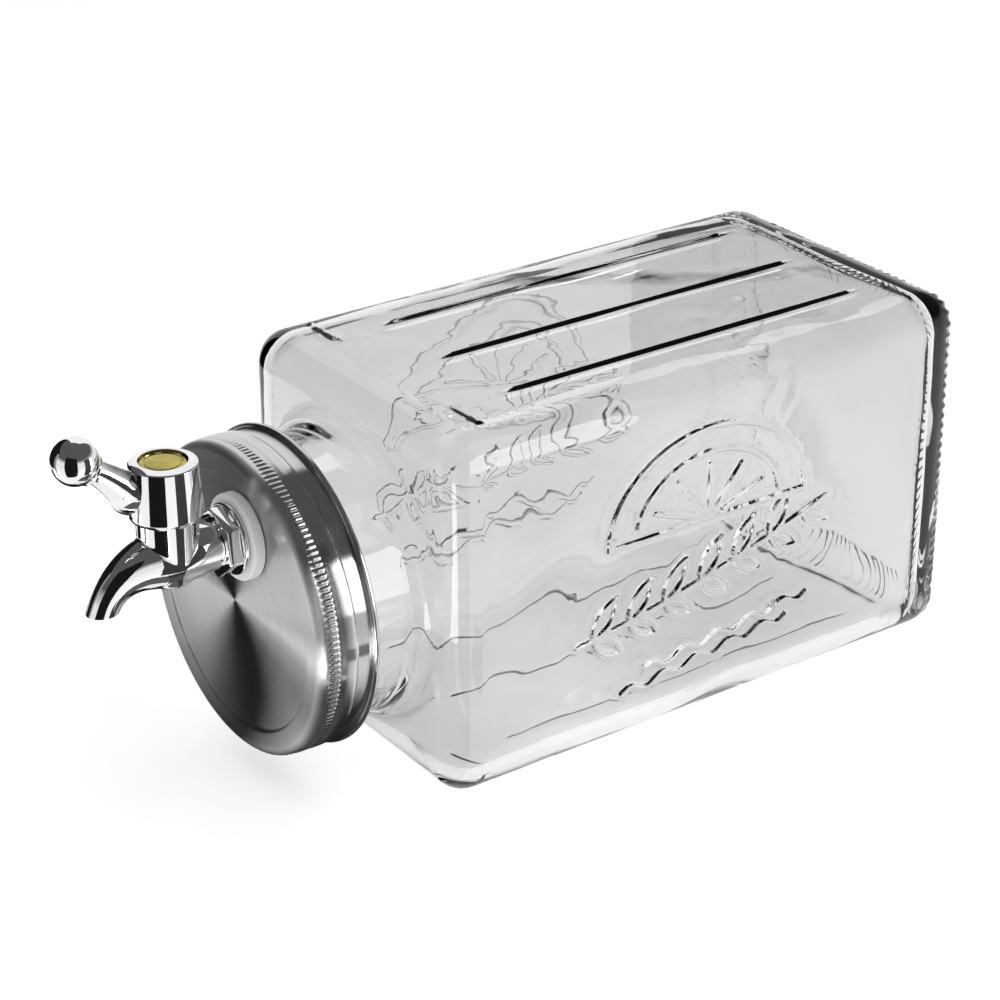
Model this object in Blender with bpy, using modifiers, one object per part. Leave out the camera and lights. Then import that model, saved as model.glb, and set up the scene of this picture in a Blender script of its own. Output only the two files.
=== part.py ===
"""A square glass drinks jar that lies on its side, with a screw lid and a quarter-turn tap through the lid.

The jar's long axis is Y. The lid and the tap face -Y, the closed base faces +Y, and +Z is up.
The origin is the middle of the flat crest of the middle underside rib, on which the jar rests.
"""

import math

import bmesh
import bpy
from mathutils import Matrix, Vector

GAP = 0.0003  # clearance left between pieces that touch

# Jar
BODY_WIDTH = 0.135
BODY_HEIGHT = 0.1437
BODY_LENGTH = 0.242
BODY_EDGE_RADIUS = 0.013
WALL = 0.0045
BASE_WALL = 0.0085
INNER_EDGE_RADIUS = 0.0115
RIM_ROUND = 0.0015
RIB_HEIGHT = 0.0012
RIB_WIDTH = 0.0024
RIB_LENGTH = 0.160
RIB_SPACING = 0.0386
LUG_LENGTH = 0.018
LUG_WIDTH = 0.003
LUG_OFFSET = 0.0465
SHOULDER_Y = -0.126  # the body's flat front face
LUG_Y = SHOULDER_Y + 0.021
BASE_Y = SHOULDER_Y + BODY_LENGTH
AXIS_Z = RIB_HEIGHT + BODY_HEIGHT / 2  # height of the jar's long axis
NECK_RADIUS = 0.0536
NECK_BORE = 0.0488
NECK_FILLET = 0.008
PUSH_UP_RADIUS = 0.046
PUSH_UP_DEPTH = 0.0035

# Screw thread, right-handed
THREAD_PITCH = 0.006
THREAD_TURNS = 1.15
THREAD_RIDGE = 0.00175
THREAD_START = -0.008  # distance in front of the lid's panel, so negative is behind it
GROOVE_RIDGE = 0.00218
GROOVE_TURNS = 2.75
GROOVE_LEAD = 1.45  # turns of groove behind the end of the glass thread

# Lid. Its distances run forward from the front panel's face.
PANEL_Y = SHOULDER_Y - 0.0478
LID_RADIUS = 0.059
LID_STEEL = 0.0006
LID_DEPTH = 0.0231
RIM_BEAD = 0.0013
PANEL_RADIUS = 0.0491
RING_FRONT = 0.0011
CORNER_RADIUS = 0.00345
GRIP_BULGE = 0.00025
INSERT_RADIUS = 0.0573
INSERT_BORE = 0.0541
INSERT_PANEL = 0.0015
INSERT_BACK = -0.0206
GASKET_THICKNESS = 0.0018
JAR_RIM = -0.0048  # the glass rim, behind the panel's face

# Tap. Its hole is off the lid's centre, and the closed lid stops a little past upright.
TAP_HOLE_OFFSET = 0.0307
TAP_HOLE_CLOCK = math.radians(15)
TAP_X = TAP_HOLE_OFFSET * math.sin(TAP_HOLE_CLOCK)
TAP_Z = AXIS_Z + TAP_HOLE_OFFSET * math.cos(TAP_HOLE_CLOCK)
HUB_REACH = 0.030  # from the lid's panel to the valve's axis
HUB_Y = PANEL_Y - HUB_REACH
SHANK_RADIUS = 0.00775
SHANK_HOLE = 0.00808
SHANK_INSIDE = 0.0165
WATERWAY = 0.004
WASHER_RADIUS = 0.016
WASHER_FRONT = 0.0047
FLANGE_RADIUS = 0.0133
FLANGE_FRONT = 0.0067
INNER_WASHER_RADIUS = 0.013
INNER_WASHER_THICKNESS = 0.002
SLIP_WASHER_RADIUS = 0.0125
SLIP_WASHER_THICKNESS = 0.001
LOCK_NUT_ACROSS_FLATS = 0.022
LOCK_NUT_DEPTH = 0.006
HEX_ACROSS_FLATS = 0.0225
HEX_FRONT = 0.0122
HEX_CLOCK = math.radians(10)
BARREL_RADIUS = 0.0106
TAP_NECK_RADIUS = 0.01065
TAP_NECK_TOP = 0.0182
SPOUT_TIP_DROP = 0.0134
CHAMBER_RADIUS = 0.0065
CHAMBER_FLOOR = -0.007
GLAND_BORE = 0.0078
GLAND_SEAT = 0.0098

# Valve and handle, with heights above the tap's barrel axis
PLUG_RADIUS = 0.0062
PLUG_TOP = 0.0082
STEM_RADIUS = 0.0038
STEM_TOP = 0.0292
PLUG_GROOVE_RADIUS = 0.0048
PLUG_GROOVE_HALF_WIDTH = 0.0009
PLUG_SEAL_UPPER = 0.0063
PLUG_SEAL_LOWER = -0.0052
STEM_GROOVE_RADIUS = 0.0028
STEM_GROOVE_HALF_WIDTH = 0.0009
STEM_SEAL = 0.0162
GLAND_STEM_BORE = 0.0042
GLAND_HEAD_RADIUS = 0.0098
SQUARE_SIDE = 0.0056
SQUARE_FOOT = 0.0222
GLAND_HEAD_TOP = 0.0214
HUB_FOOT = 0.0162
HUB_TOP = 0.0372
HUB_FOOT_RADIUS = 0.01335
HUB_TOP_RADIUS = 0.0122
HUB_SKIRT_BORE = 0.0116
HUB_CROWN = 0.0008  # how far the hub's top ring falls from the disc to its edge
DISC_RADIUS = 0.0085
DISC_THICKNESS = 0.001
ARM_THICKNESS = 0.62  # the arm's thickness as a share of its height
BALL_RADIUS = 0.0085
BALL_REACH = 0.0330
BALL_RISE = 0.0084

ROUND_STEPS = 32
LID_STEPS = 48


def clear_scene():
    for obj in list(bpy.data.objects):
        bpy.data.objects.remove(obj, do_unlink=True)


def new_collection(name):
    collection = bpy.data.collections.new(name)
    bpy.context.scene.collection.children.link(collection)
    return collection


clear_scene()
PARTS = new_collection("drinks_jar_with_tap")
CUTTERS = new_collection("cutters")


def principled(name, colour, roughness, metallic=0.0, transmission=0.0):
    material = bpy.data.materials.new(name)
    material.use_nodes = True
    shader = material.node_tree.nodes["Principled BSDF"]
    shader.inputs["Base Color"].default_value = (*colour, 1.0)
    shader.inputs["Roughness"].default_value = roughness
    shader.inputs["Metallic"].default_value = metallic
    shader.inputs["Transmission Weight"].default_value = transmission
    return material


GLASS = principled("clear_glass", (0.93, 0.95, 0.95), 0.02, transmission=1.0)
STEEL = principled("brushed_steel", (0.62, 0.61, 0.60), 0.28, metallic=1.0)
CHROME = principled("chrome", (0.86, 0.86, 0.87), 0.05, metallic=1.0)
BRASS = principled("brass", (0.78, 0.60, 0.28), 0.25, metallic=1.0)
GOLD = principled("gold_disc", (0.80, 0.62, 0.16), 0.22, metallic=1.0)
WHITE_RUBBER = principled("white_rubber", (0.86, 0.86, 0.85), 0.55)
WHITE_PLASTIC = principled("white_plastic", (0.90, 0.90, 0.89), 0.40)
DARK_RUBBER = principled("dark_rubber", (0.05, 0.05, 0.05), 0.60)


def add_object(name, mesh, collection, material=None):
    obj = bpy.data.objects.new(name, mesh)
    collection.objects.link(obj)
    if material is not None:
        mesh.materials.append(material)
    return obj


def mesh_from_bmesh(name, shape):
    bmesh.ops.recalc_face_normals(shape, faces=shape.faces[:])
    mesh = bpy.data.meshes.new(name)
    shape.to_mesh(mesh)
    shape.free()
    return mesh


def as_cutter(obj):
    obj.hide_render = True
    obj.display_type = "WIRE"
    return obj


def baked(obj, weld=0.0):
    """Makes the object its own evaluated mesh, so that a Boolean or another modifier can follow."""
    bpy.context.view_layer.update()
    graph = bpy.context.evaluated_depsgraph_get()
    mesh = bpy.data.meshes.new_from_object(obj.evaluated_get(graph))
    if weld:
        shape = bmesh.new()
        shape.from_mesh(mesh)
        bmesh.ops.remove_doubles(shape, verts=shape.verts[:], dist=weld)
        bmesh.ops.recalc_face_normals(shape, faces=shape.faces[:])
        shape.to_mesh(mesh)
        shape.free()
    name = obj.name
    collection = obj.users_collection[0]
    solid = bpy.data.objects.new(name + "_solid", mesh)
    collection.objects.link(solid)
    solid.matrix_world = obj.matrix_world.copy()
    bpy.data.objects.remove(obj, do_unlink=True)
    solid.name = name
    return solid


def boolean(obj, other, operation):
    modifier = obj.modifiers.new(other.name, "BOOLEAN")
    modifier.object = other
    modifier.operation = operation
    modifier.solver = "EXACT"
    if other.name not in CUTTERS.objects:
        for collection in list(other.users_collection):
            collection.objects.unlink(other)
        CUTTERS.objects.link(other)
    as_cutter(other)


def cut(obj, *others):
    for other in others:
        boolean(obj, other, "DIFFERENCE")


def join(obj, *others):
    for other in others:
        boolean(obj, other, "UNION")


def smooth(obj, angle=35):
    obj.data.shade_smooth()
    obj.data.set_sharp_from_angle(angle=math.radians(angle))


def block(name, size, centre, edge=0.0, segments=3, collection=PARTS, material=None):
    """A box with rounded edges."""
    shape = bmesh.new()
    bmesh.ops.create_cube(shape, size=1.0, matrix=Matrix.Diagonal((*size, 1.0)))
    obj = add_object(name, mesh_from_bmesh(name, shape), collection, material)
    obj.location = centre
    if edge:
        bevel = obj.modifiers.new("round_edges", "BEVEL")
        bevel.width = edge
        bevel.segments = segments
    return obj


def prism(name, radius, depth, centre, sides, axis="Z", collection=CUTTERS, material=None):
    """A cylinder, or a hexagonal bar with sides=6, centred on its middle."""
    shape = bmesh.new()
    bmesh.ops.create_cone(
        shape, cap_ends=True, segments=sides, radius1=radius, radius2=radius, depth=depth
    )
    obj = add_object(name, mesh_from_bmesh(name, shape), collection, material)
    obj.location = centre
    if axis == "Y":
        obj.rotation_euler = (math.radians(90), 0, 0)
    return obj


def turned(
    name, profile, centre, axis="Z", steps=ROUND_STEPS, collection=PARTS, material=None, closed=True
):
    """Turns (radius, height) points. Height is +Z, or forward (-Y) with axis="Y".

    A closed profile goes clockwise: down its outer side and back up its inner side.
    """
    mesh = bpy.data.meshes.new(name)
    points = [(radius, 0.0, height) for radius, height in profile]
    edges = [(i, i + 1) for i in range(len(points) - 1)]
    if closed:
        edges.append((len(points) - 1, 0))
    mesh.from_pydata(points, edges, [])
    obj = add_object(name, mesh, collection, material)
    obj.location = centre
    if axis == "Y":
        obj.rotation_euler = (math.radians(90), 0, 0)
    screw = obj.modifiers.new("turn", "SCREW")
    screw.steps = steps
    screw.render_steps = steps
    screw.use_merge_vertices = True
    screw.merge_threshold = 0.00001
    return obj


def solid_turned(name, outline, centre, axis="Z", **options):
    """Turns an outline that starts and ends on the axis, listed from top to bottom."""
    return turned(name, outline, centre, axis, closed=False, **options)


def ring_profile(inner, outer, low, high, chamfer=0.0):
    """The section of a ring, with its two outer corners cut off where there is a chamfer."""
    if not chamfer:
        return [(inner, high), (outer, high), (outer, low), (inner, low)]
    top = [(inner, high), (outer - chamfer, high), (outer, high - chamfer)]
    return top + [(outer, low + chamfer), (outer - chamfer, low), (inner, low)]


def arc(centre, radius, start, end, count):
    """Points of an arc, in degrees, as (radius, height) pairs."""
    angles = [math.radians(start + (end - start) * i / count) for i in range(count + 1)]
    return [(centre[0] + radius * math.cos(a), centre[1] + radius * math.sin(a)) for a in angles]


def tube(name, points, radii, sides=2, collection=CUTTERS, material=None, smooth_route=True):
    """A tube along points, with a radius at each, as a welded mesh."""
    curve = bpy.data.curves.new(name, "CURVE")
    curve.dimensions = "3D"
    curve.bevel_depth = 1.0
    curve.bevel_resolution = sides
    curve.use_fill_caps = True
    curve.resolution_u = 4
    spline = curve.splines.new("BEZIER" if smooth_route else "POLY")
    if smooth_route:
        spline.bezier_points.add(len(points) - 1)
        for knot, point, radius in zip(spline.bezier_points, points, radii):
            knot.co = point
            knot.radius = radius
            knot.handle_left_type = "AUTO"
            knot.handle_right_type = "AUTO"
    else:
        spline.points.add(len(points) - 1)
        for knot, point, radius in zip(spline.points, points, radii):
            knot.co = (*point, 1.0)
            knot.radius = radius
    obj = bpy.data.objects.new(name, curve)
    collection.objects.link(obj)
    if material is not None:
        curve.materials.append(material)
    return baked(obj, weld=0.00001)


def helix(name, radius, ridge, start, turns, steps_per_turn=48):
    """A round helical ridge about the jar's axis, whose heights run forward from the lid's panel."""
    count = round(turns * steps_per_turn)
    points = []
    for i in range(count + 1):
        turn = math.tau * i / steps_per_turn
        height = start + THREAD_PITCH * turn / math.tau
        points.append((radius * math.cos(turn), radius * math.sin(turn), height))
    obj = tube(name, points, [ridge] * len(points), sides=1, smooth_route=False)
    obj.location = (0, PANEL_Y, AXIS_Z)
    obj.rotation_euler = (math.radians(90), 0, 0)
    return obj


def tap_point(forward, height, side=0.0):
    """A point given from the tap's own axis: forward of the lid's panel, and above the barrel."""
    return Vector((TAP_X + side, PANEL_Y - forward, TAP_Z + height))


# ---------------------------------------------------------------- jar


def neck_outline():
    """The neck and the fillet that spreads it into the shoulder, from the rim back into the body."""
    shoulder = SHOULDER_Y - PANEL_Y
    fillet_centre = (NECK_RADIUS + NECK_FILLET, -shoulder + NECK_FILLET)
    outline = [(0.0, JAR_RIM)]
    outline += arc((NECK_RADIUS - RIM_ROUND, JAR_RIM - RIM_ROUND), RIM_ROUND, 90, 0, 3)
    outline += arc(fillet_centre, NECK_FILLET, 180, 265, 5)
    outline += [(NECK_RADIUS + NECK_FILLET, -shoulder - 0.002), (0.0, -shoulder - 0.002)]
    return outline


def bore_outline():
    """The mouth's bore, widened where it meets the inside of the body."""
    shoulder = SHOULDER_Y - PANEL_Y
    outline = [(0.0, 0.0), (NECK_BORE, 0.0)]
    outline += arc((NECK_BORE + 0.005, -shoulder + 0.001), 0.005, 180, 240, 3)
    outline += [(NECK_BORE + 0.004, -shoulder - WALL - 0.004), (0.0, -shoulder - WALL - 0.004)]
    return outline


def jar_ribs():
    """Three long ribs on the top face and three on the underside, where they are the feet."""
    depth = 2 * RIB_HEIGHT
    for level in (RIB_HEIGHT, RIB_HEIGHT + BODY_HEIGHT):
        for side in (-1, 0, 1):
            name = f"rib_{'under' if level < AXIS_Z else 'top'}_{side + 1}"
            centre = (side * RIB_SPACING, 0, level)
            yield block(name, (RIB_WIDTH, RIB_LENGTH, depth), centre, 0.0004, 2, CUTTERS)


def jar_lugs():
    """Short raised bars near the shoulder, two on the top face and two on the underside."""
    for level in (RIB_HEIGHT, RIB_HEIGHT + BODY_HEIGHT):
        for side in (-1, 1):
            name = f"lug_{'under' if level < AXIS_Z else 'top'}_{side + 1}"
            centre = (side * LUG_OFFSET, LUG_Y, level)
            size = (LUG_LENGTH, LUG_WIDTH, 1.6 * RIB_HEIGHT)
            yield block(name, size, centre, 0.0005, 2, CUTTERS)


def make_jar():
    centre = (0, SHOULDER_Y + BODY_LENGTH / 2, AXIS_Z)
    size = (BODY_WIDTH, BODY_LENGTH, BODY_HEIGHT)
    jar = block("jar", size, centre, BODY_EDGE_RADIUS, 4, PARTS, GLASS)
    neck = solid_turned(
        "neck", neck_outline(), (0, PANEL_Y, AXIS_Z), "Y", steps=LID_STEPS, collection=CUTTERS
    )
    thread_start = THREAD_START - THREAD_TURNS * THREAD_PITCH
    thread = helix("glass_thread", NECK_RADIUS, THREAD_RIDGE, thread_start, THREAD_TURNS)
    join(jar, neck, thread, *jar_ribs(), *jar_lugs())

    length = BODY_LENGTH - WALL - BASE_WALL
    hollow_size = (BODY_WIDTH - 2 * WALL, length, BODY_HEIGHT - 2 * WALL)
    hollow_centre = (0, SHOULDER_Y + WALL + length / 2, AXIS_Z)
    hollow = block("hollow", hollow_size, hollow_centre, INNER_EDGE_RADIUS, 3, CUTTERS)
    bore = solid_turned(
        "mouth_bore", bore_outline(), (0, PANEL_Y, AXIS_Z), "Y", steps=LID_STEPS, collection=CUTTERS
    )
    sphere_radius = (PUSH_UP_RADIUS**2 + PUSH_UP_DEPTH**2) / (2 * PUSH_UP_DEPTH)
    dish = [(0.0, PUSH_UP_DEPTH)]
    for i in range(1, 5):
        radius = PUSH_UP_RADIUS * i / 4
        drop = sphere_radius - math.sqrt(sphere_radius**2 - radius**2)
        dish.append((radius, PUSH_UP_DEPTH - drop))
    dish += [(PUSH_UP_RADIUS, -0.002), (0.0, -0.002)]
    push_up = solid_turned("push_up", dish, (0, BASE_Y, AXIS_Z), "Y", collection=CUTTERS)
    cut(jar, hollow, bore, push_up)
    smooth(jar)


# ---------------------------------------------------------------- lid


def shell_profile():
    """The pressed steel: recessed panel, raised front ring, knurled and plain bands, groove, curled rim."""
    corner = CORNER_RADIUS
    step_radius = LID_RADIUS - 0.0007
    bead = (LID_RADIUS + 0.0001, -LID_DEPTH + RIM_BEAD)
    corner_centre = (LID_RADIUS - corner, RING_FRONT - corner)
    outside = [(0.0, 0.0), (PANEL_RADIUS, 0.0), (PANEL_RADIUS + 0.0006, RING_FRONT)]
    outside += arc(corner_centre, corner, 90, 0, 4)
    outside += [(LID_RADIUS, -0.0066), (LID_RADIUS + GRIP_BULGE, -0.008)]
    outside += [(LID_RADIUS + GRIP_BULGE, -0.0136), (step_radius, -0.0149), (step_radius, -0.0194)]
    outside += arc(bead, RIM_BEAD, 128, -180, 6)
    inside = [(step_radius - LID_STEEL, -0.0149), (LID_RADIUS - 0.0004, -0.0134)]
    inside += [(LID_RADIUS - 0.0004, -0.008), (LID_RADIUS - LID_STEEL, -0.0064)]
    inside += arc(corner_centre, corner - LID_STEEL, 0, 90, 3)
    inside += [(PANEL_RADIUS + 0.001, RING_FRONT - LID_STEEL), (PANEL_RADIUS + 0.0004, -LID_STEEL)]
    inside += [(0.0, -LID_STEEL)]
    return outside + inside


def tap_hole(name, radius=SHANK_HOLE):
    return prism(name, radius, 0.02, tap_point(0, 0), 36, "Y")


def make_lid():
    centre = (0, PANEL_Y, AXIS_Z)
    shell = solid_turned(
        "lid_shell", shell_profile(), centre, "Y", steps=LID_STEPS, collection=PARTS, material=STEEL
    )
    cut(shell, tap_hole("shell_tap_hole"))
    smooth(shell)

    front = -LID_STEEL - GAP
    outline = [(0.0, front), (INSERT_RADIUS - 0.001, front), (INSERT_RADIUS, front - 0.001)]
    outline += [(INSERT_RADIUS, INSERT_BACK), (INSERT_BORE, INSERT_BACK)]
    outline += [(INSERT_BORE, front - INSERT_PANEL), (0.0, front - INSERT_PANEL)]
    insert = solid_turned(
        "lid_insert", outline, centre, "Y", steps=LID_STEPS, collection=PARTS, material=WHITE_PLASTIC
    )
    groove_start = THREAD_START - (THREAD_TURNS + GROOVE_LEAD) * THREAD_PITCH
    groove = helix("thread_groove", NECK_RADIUS, GROOVE_RIDGE, groove_start, GROOVE_TURNS)
    groove.rotation_euler.rotate_axis("Z", -GROOVE_LEAD * math.tau)
    cut(insert, groove, tap_hole("insert_tap_hole"))
    smooth(insert)

    seat = JAR_RIM + GAP
    profile = ring_profile(NECK_BORE - 0.0003, INSERT_BORE - 0.0003, seat, seat + GASKET_THICKNESS)
    gasket = turned("lid_gasket", profile, centre, "Y", steps=LID_STEPS, material=WHITE_RUBBER)
    smooth(gasket)


# ---------------------------------------------------------------- tap


def make_tap_seals():
    """The washers and the nut that clamp the tap's shank in the lid, front to back."""
    at = tap_point(0, 0)
    panel_back = -LID_STEEL - 2 * GAP - INSERT_PANEL
    outer = ring_profile(SHANK_HOLE, WASHER_RADIUS, GAP, WASHER_FRONT, 0.0008)
    smooth(turned("outer_washer", outer, at, "Y", material=WHITE_RUBBER))
    inner_back = panel_back - INNER_WASHER_THICKNESS
    inner = ring_profile(SHANK_HOLE, INNER_WASHER_RADIUS, inner_back, panel_back, 0.0003)
    smooth(turned("inner_washer", inner, at, "Y", material=WHITE_RUBBER))
    slip_front = inner_back - GAP
    slip_back = slip_front - SLIP_WASHER_THICKNESS
    slip = ring_profile(SHANK_HOLE, SLIP_WASHER_RADIUS, slip_back, slip_front)
    smooth(turned("slip_washer", slip, at, "Y", material=WHITE_PLASTIC))
    nut_radius = LOCK_NUT_ACROSS_FLATS / 2 / math.cos(math.radians(30))
    centre = tap_point(slip_back - GAP - LOCK_NUT_DEPTH / 2, 0)
    nut = prism("lock_nut", nut_radius, LOCK_NUT_DEPTH, centre, 6, "Y", PARTS, CHROME)
    bevel = nut.modifiers.new("round_corners", "BEVEL")
    bevel.width = 0.0005
    bevel.segments = 2
    cut(nut, prism("nut_bore", SHANK_HOLE, 0.02, centre, 36, "Y"))


def spout_route():
    """The spout's centre line, with its radius at each point, from inside the barrel to past the tip."""
    return [
        (0.0240, 0.0, 0.0098),
        (0.0300, 0.0, 0.0105),
        (0.0380, 0.0001, 0.0097),
        (0.0450, -0.0015, 0.0079),
        (0.0508, -0.0048, 0.0064),
        (0.0550, -0.0098, 0.0056),
        (0.0580, -0.0165, 0.0056),
    ]


def barrel_outline():
    """Flange, then the barrel that widens from the hex to the valve, then its rounded front."""
    front = HUB_REACH + 0.006
    outline = [(0.0, front), (0.006, front), (BARREL_RADIUS - 0.001, HUB_REACH + 0.003)]
    outline += [(BARREL_RADIUS, HUB_REACH), (0.0102, 0.0204), (0.0091, HEX_FRONT + 0.0008)]
    outline += [(0.0098, HEX_FRONT), (0.0098, FLANGE_FRONT), (FLANGE_RADIUS - 0.0007, FLANGE_FRONT)]
    outline += [(FLANGE_RADIUS, FLANGE_FRONT - 0.0006), (FLANGE_RADIUS, WASHER_FRONT + GAP)]
    outline += [(SHANK_RADIUS, WASHER_FRONT + GAP), (SHANK_RADIUS, -SHANK_INSIDE + 0.0008)]
    outline += [(SHANK_RADIUS - 0.0008, -SHANK_INSIDE), (0.0, -SHANK_INSIDE)]
    return outline


def make_tap_body():
    body = solid_turned("tap_body", barrel_outline(), tap_point(0, 0), "Y", material=CHROME)
    hex_depth = HEX_FRONT - FLANGE_FRONT + 0.0004
    hex_radius = HEX_ACROSS_FLATS / 2 / math.cos(math.radians(30))
    hex_collar = prism(
        "hex_collar", hex_radius, hex_depth, tap_point(FLANGE_FRONT - 0.0002 + hex_depth / 2, 0), 6, "Y"
    )
    hex_collar.rotation_euler.rotate_axis("Z", HEX_CLOCK)
    bevel = hex_collar.modifiers.new("round_corners", "BEVEL")
    bevel.width = 0.0006
    bevel.segments = 2
    valve_outline = [(0.0, TAP_NECK_TOP), (TAP_NECK_RADIUS - 0.0006, TAP_NECK_TOP)]
    valve_outline += [(TAP_NECK_RADIUS, TAP_NECK_TOP - 0.0006), (TAP_NECK_RADIUS, 0.001)]
    valve_outline += [(0.0088, -0.0085), (0.0, -0.0098)]
    neck = solid_turned("valve_neck", valve_outline, tap_point(HUB_REACH, 0), collection=CUTTERS)
    route = spout_route()
    points = [tap_point(forward, height) for forward, height, _ in route]
    spout = tube("spout", points, [radius for _, _, radius in route], sides=5)
    below_tip = block(
        "below_tip", (0.03, 0.03, 0.02), tap_point(0.058, -SPOUT_TIP_DROP - 0.01), collection=CUTTERS
    )
    join(body, hex_collar, neck, spout)

    chamber_outline = [(0.0, TAP_NECK_TOP + 0.002), (GLAND_BORE, TAP_NECK_TOP + 0.002)]
    chamber_outline += [(GLAND_BORE, GLAND_SEAT), (CHAMBER_RADIUS, GLAND_SEAT - 0.0002)]
    chamber_outline += [(CHAMBER_RADIUS, CHAMBER_FLOOR), (0.0, CHAMBER_FLOOR)]
    chamber = solid_turned(
        "chamber", chamber_outline, tap_point(HUB_REACH, 0), collection=CUTTERS
    )
    inlet = prism("inlet_bore", WATERWAY, 0.05, tap_point(HUB_REACH - 0.027, 0), 20, "Y")
    water = [tap_point(0.034, 0)] + [tap_point(f, h) for f, h, _ in route[2:]]
    water.append(tap_point(0.0592, -0.021))
    outlet = tube("outlet_bore", water, [WATERWAY] * len(water), sides=3)
    join(chamber, inlet, outlet)
    cut(body, below_tip, chamber)
    smooth(body)


def make_valve():
    """The quarter-turn plug with its stem, the seals on it, and the gland nut that holds it down."""
    at = tap_point(HUB_REACH, 0)
    outline = [(0.0, STEM_TOP), (STEM_RADIUS, STEM_TOP)]
    outline += [(STEM_RADIUS, STEM_SEAL + STEM_GROOVE_HALF_WIDTH)]
    outline += [(STEM_GROOVE_RADIUS, STEM_SEAL + STEM_GROOVE_HALF_WIDTH)]
    outline += [(STEM_GROOVE_RADIUS, STEM_SEAL - STEM_GROOVE_HALF_WIDTH)]
    outline += [(STEM_RADIUS, STEM_SEAL - STEM_GROOVE_HALF_WIDTH)]
    outline += [(STEM_RADIUS, PLUG_TOP), (PLUG_RADIUS, PLUG_TOP)]
    for middle in (PLUG_SEAL_UPPER, PLUG_SEAL_LOWER):
        high = middle + PLUG_GROOVE_HALF_WIDTH
        low = middle - PLUG_GROOVE_HALF_WIDTH
        outline += [(PLUG_RADIUS, high), (PLUG_GROOVE_RADIUS, high)]
        outline += [(PLUG_GROOVE_RADIUS, low), (PLUG_RADIUS, low)]
    outline += [(PLUG_RADIUS, CHAMBER_FLOOR + GAP), (0.0, CHAMBER_FLOOR + GAP)]
    plug = solid_turned("valve_plug", outline, at, material=BRASS, steps=36)
    cross_bore = prism("cross_bore", 0.0038, 0.03, at, 20, "Y")
    cross_bore.rotation_euler = (0, math.radians(90), 0)
    height = STEM_TOP - SQUARE_FOOT + 0.002
    middle = tap_point(HUB_REACH, SQUARE_FOOT + height / 2)
    reach = SQUARE_SIDE / 2 + 0.002
    flats = []
    for name, x, y in (("flat_e", 1, 0), ("flat_w", -1, 0), ("flat_n", 0, 1), ("flat_s", 0, -1)):
        size = (0.004 if x else 0.012, 0.004 if y else 0.012, height)
        flats.append(block(name, size, middle + Vector((x, y, 0)) * reach, collection=CUTTERS))
    screw_hole = prism("screw_hole", 0.0017, 0.016, tap_point(HUB_REACH, STEM_TOP), 16)
    cut(plug, cross_bore, screw_hole, *flats)
    smooth(plug)

    for name, middle, inner, outer in (
        ("plug_o_ring_upper", PLUG_SEAL_UPPER, PLUG_GROOVE_RADIUS, CHAMBER_RADIUS),
        ("plug_o_ring_lower", PLUG_SEAL_LOWER, PLUG_GROOVE_RADIUS, CHAMBER_RADIUS),
        ("stem_o_ring", STEM_SEAL, STEM_GROOVE_RADIUS, GLAND_STEM_BORE),
    ):
        thickness = (outer - inner) / 2 - GAP * 0.7
        profile = arc(((inner + outer) / 2, middle), thickness, 180, -120, 5)
        smooth(turned(name, profile, at, steps=24, material=DARK_RUBBER), 60)

    thrust = ring_profile(STEM_RADIUS + GAP, 0.0061, PLUG_TOP + GAP, PLUG_TOP + GAP + 0.001)
    smooth(turned("thrust_washer", thrust, at, steps=36, material=WHITE_PLASTIC))

    foot = GLAND_SEAT + GAP
    shelf = TAP_NECK_TOP + GAP
    gland = [(GLAND_STEM_BORE, GLAND_HEAD_TOP), (GLAND_HEAD_RADIUS - 0.0006, GLAND_HEAD_TOP)]
    gland += [(GLAND_HEAD_RADIUS, GLAND_HEAD_TOP - 0.0006), (GLAND_HEAD_RADIUS, shelf)]
    gland += [(GLAND_BORE - GAP, shelf), (GLAND_BORE - GAP, foot), (GLAND_STEM_BORE, foot)]
    nut = turned("gland_nut", gland, at, steps=36, material=BRASS)
    smooth(nut)


def hub_outline():
    crown = HUB_TOP - HUB_CROWN
    outline = [(0.0, HUB_TOP), (DISC_RADIUS + 0.0006, HUB_TOP), (HUB_TOP_RADIUS - 0.0007, crown)]
    outline += [(HUB_TOP_RADIUS, crown - 0.0007), (HUB_FOOT_RADIUS, HUB_FOOT + 0.0016)]
    outline += [(HUB_FOOT_RADIUS - 0.0009, HUB_FOOT), (0.0, HUB_FOOT)]
    return outline


def arm_route():
    """The arm's centre line from inside the hub to inside the ball: reach, height and half its depth."""
    return [
        (0.0065, HUB_TOP - 0.0100, 0.0078),
        (0.0125, HUB_TOP - 0.0090, 0.0078),
        (0.0165, HUB_TOP - 0.0056, 0.0063),
        (0.0205, HUB_TOP - 0.0018, 0.0051),
        (0.0245, HUB_TOP + 0.0016, 0.0044),
        (0.0295, HUB_TOP + 0.0056, 0.0041),
    ]


def ball_outline():
    """The ball with the small collar at its foot, where the arm runs into it."""
    outline = [(0.0, BALL_RADIUS)] + arc((0, 0), BALL_RADIUS, 75, -45, 9)
    return outline + [(0.0056, -0.0066), (0.0053, -0.0077), (0.0, -0.0077)]


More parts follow.
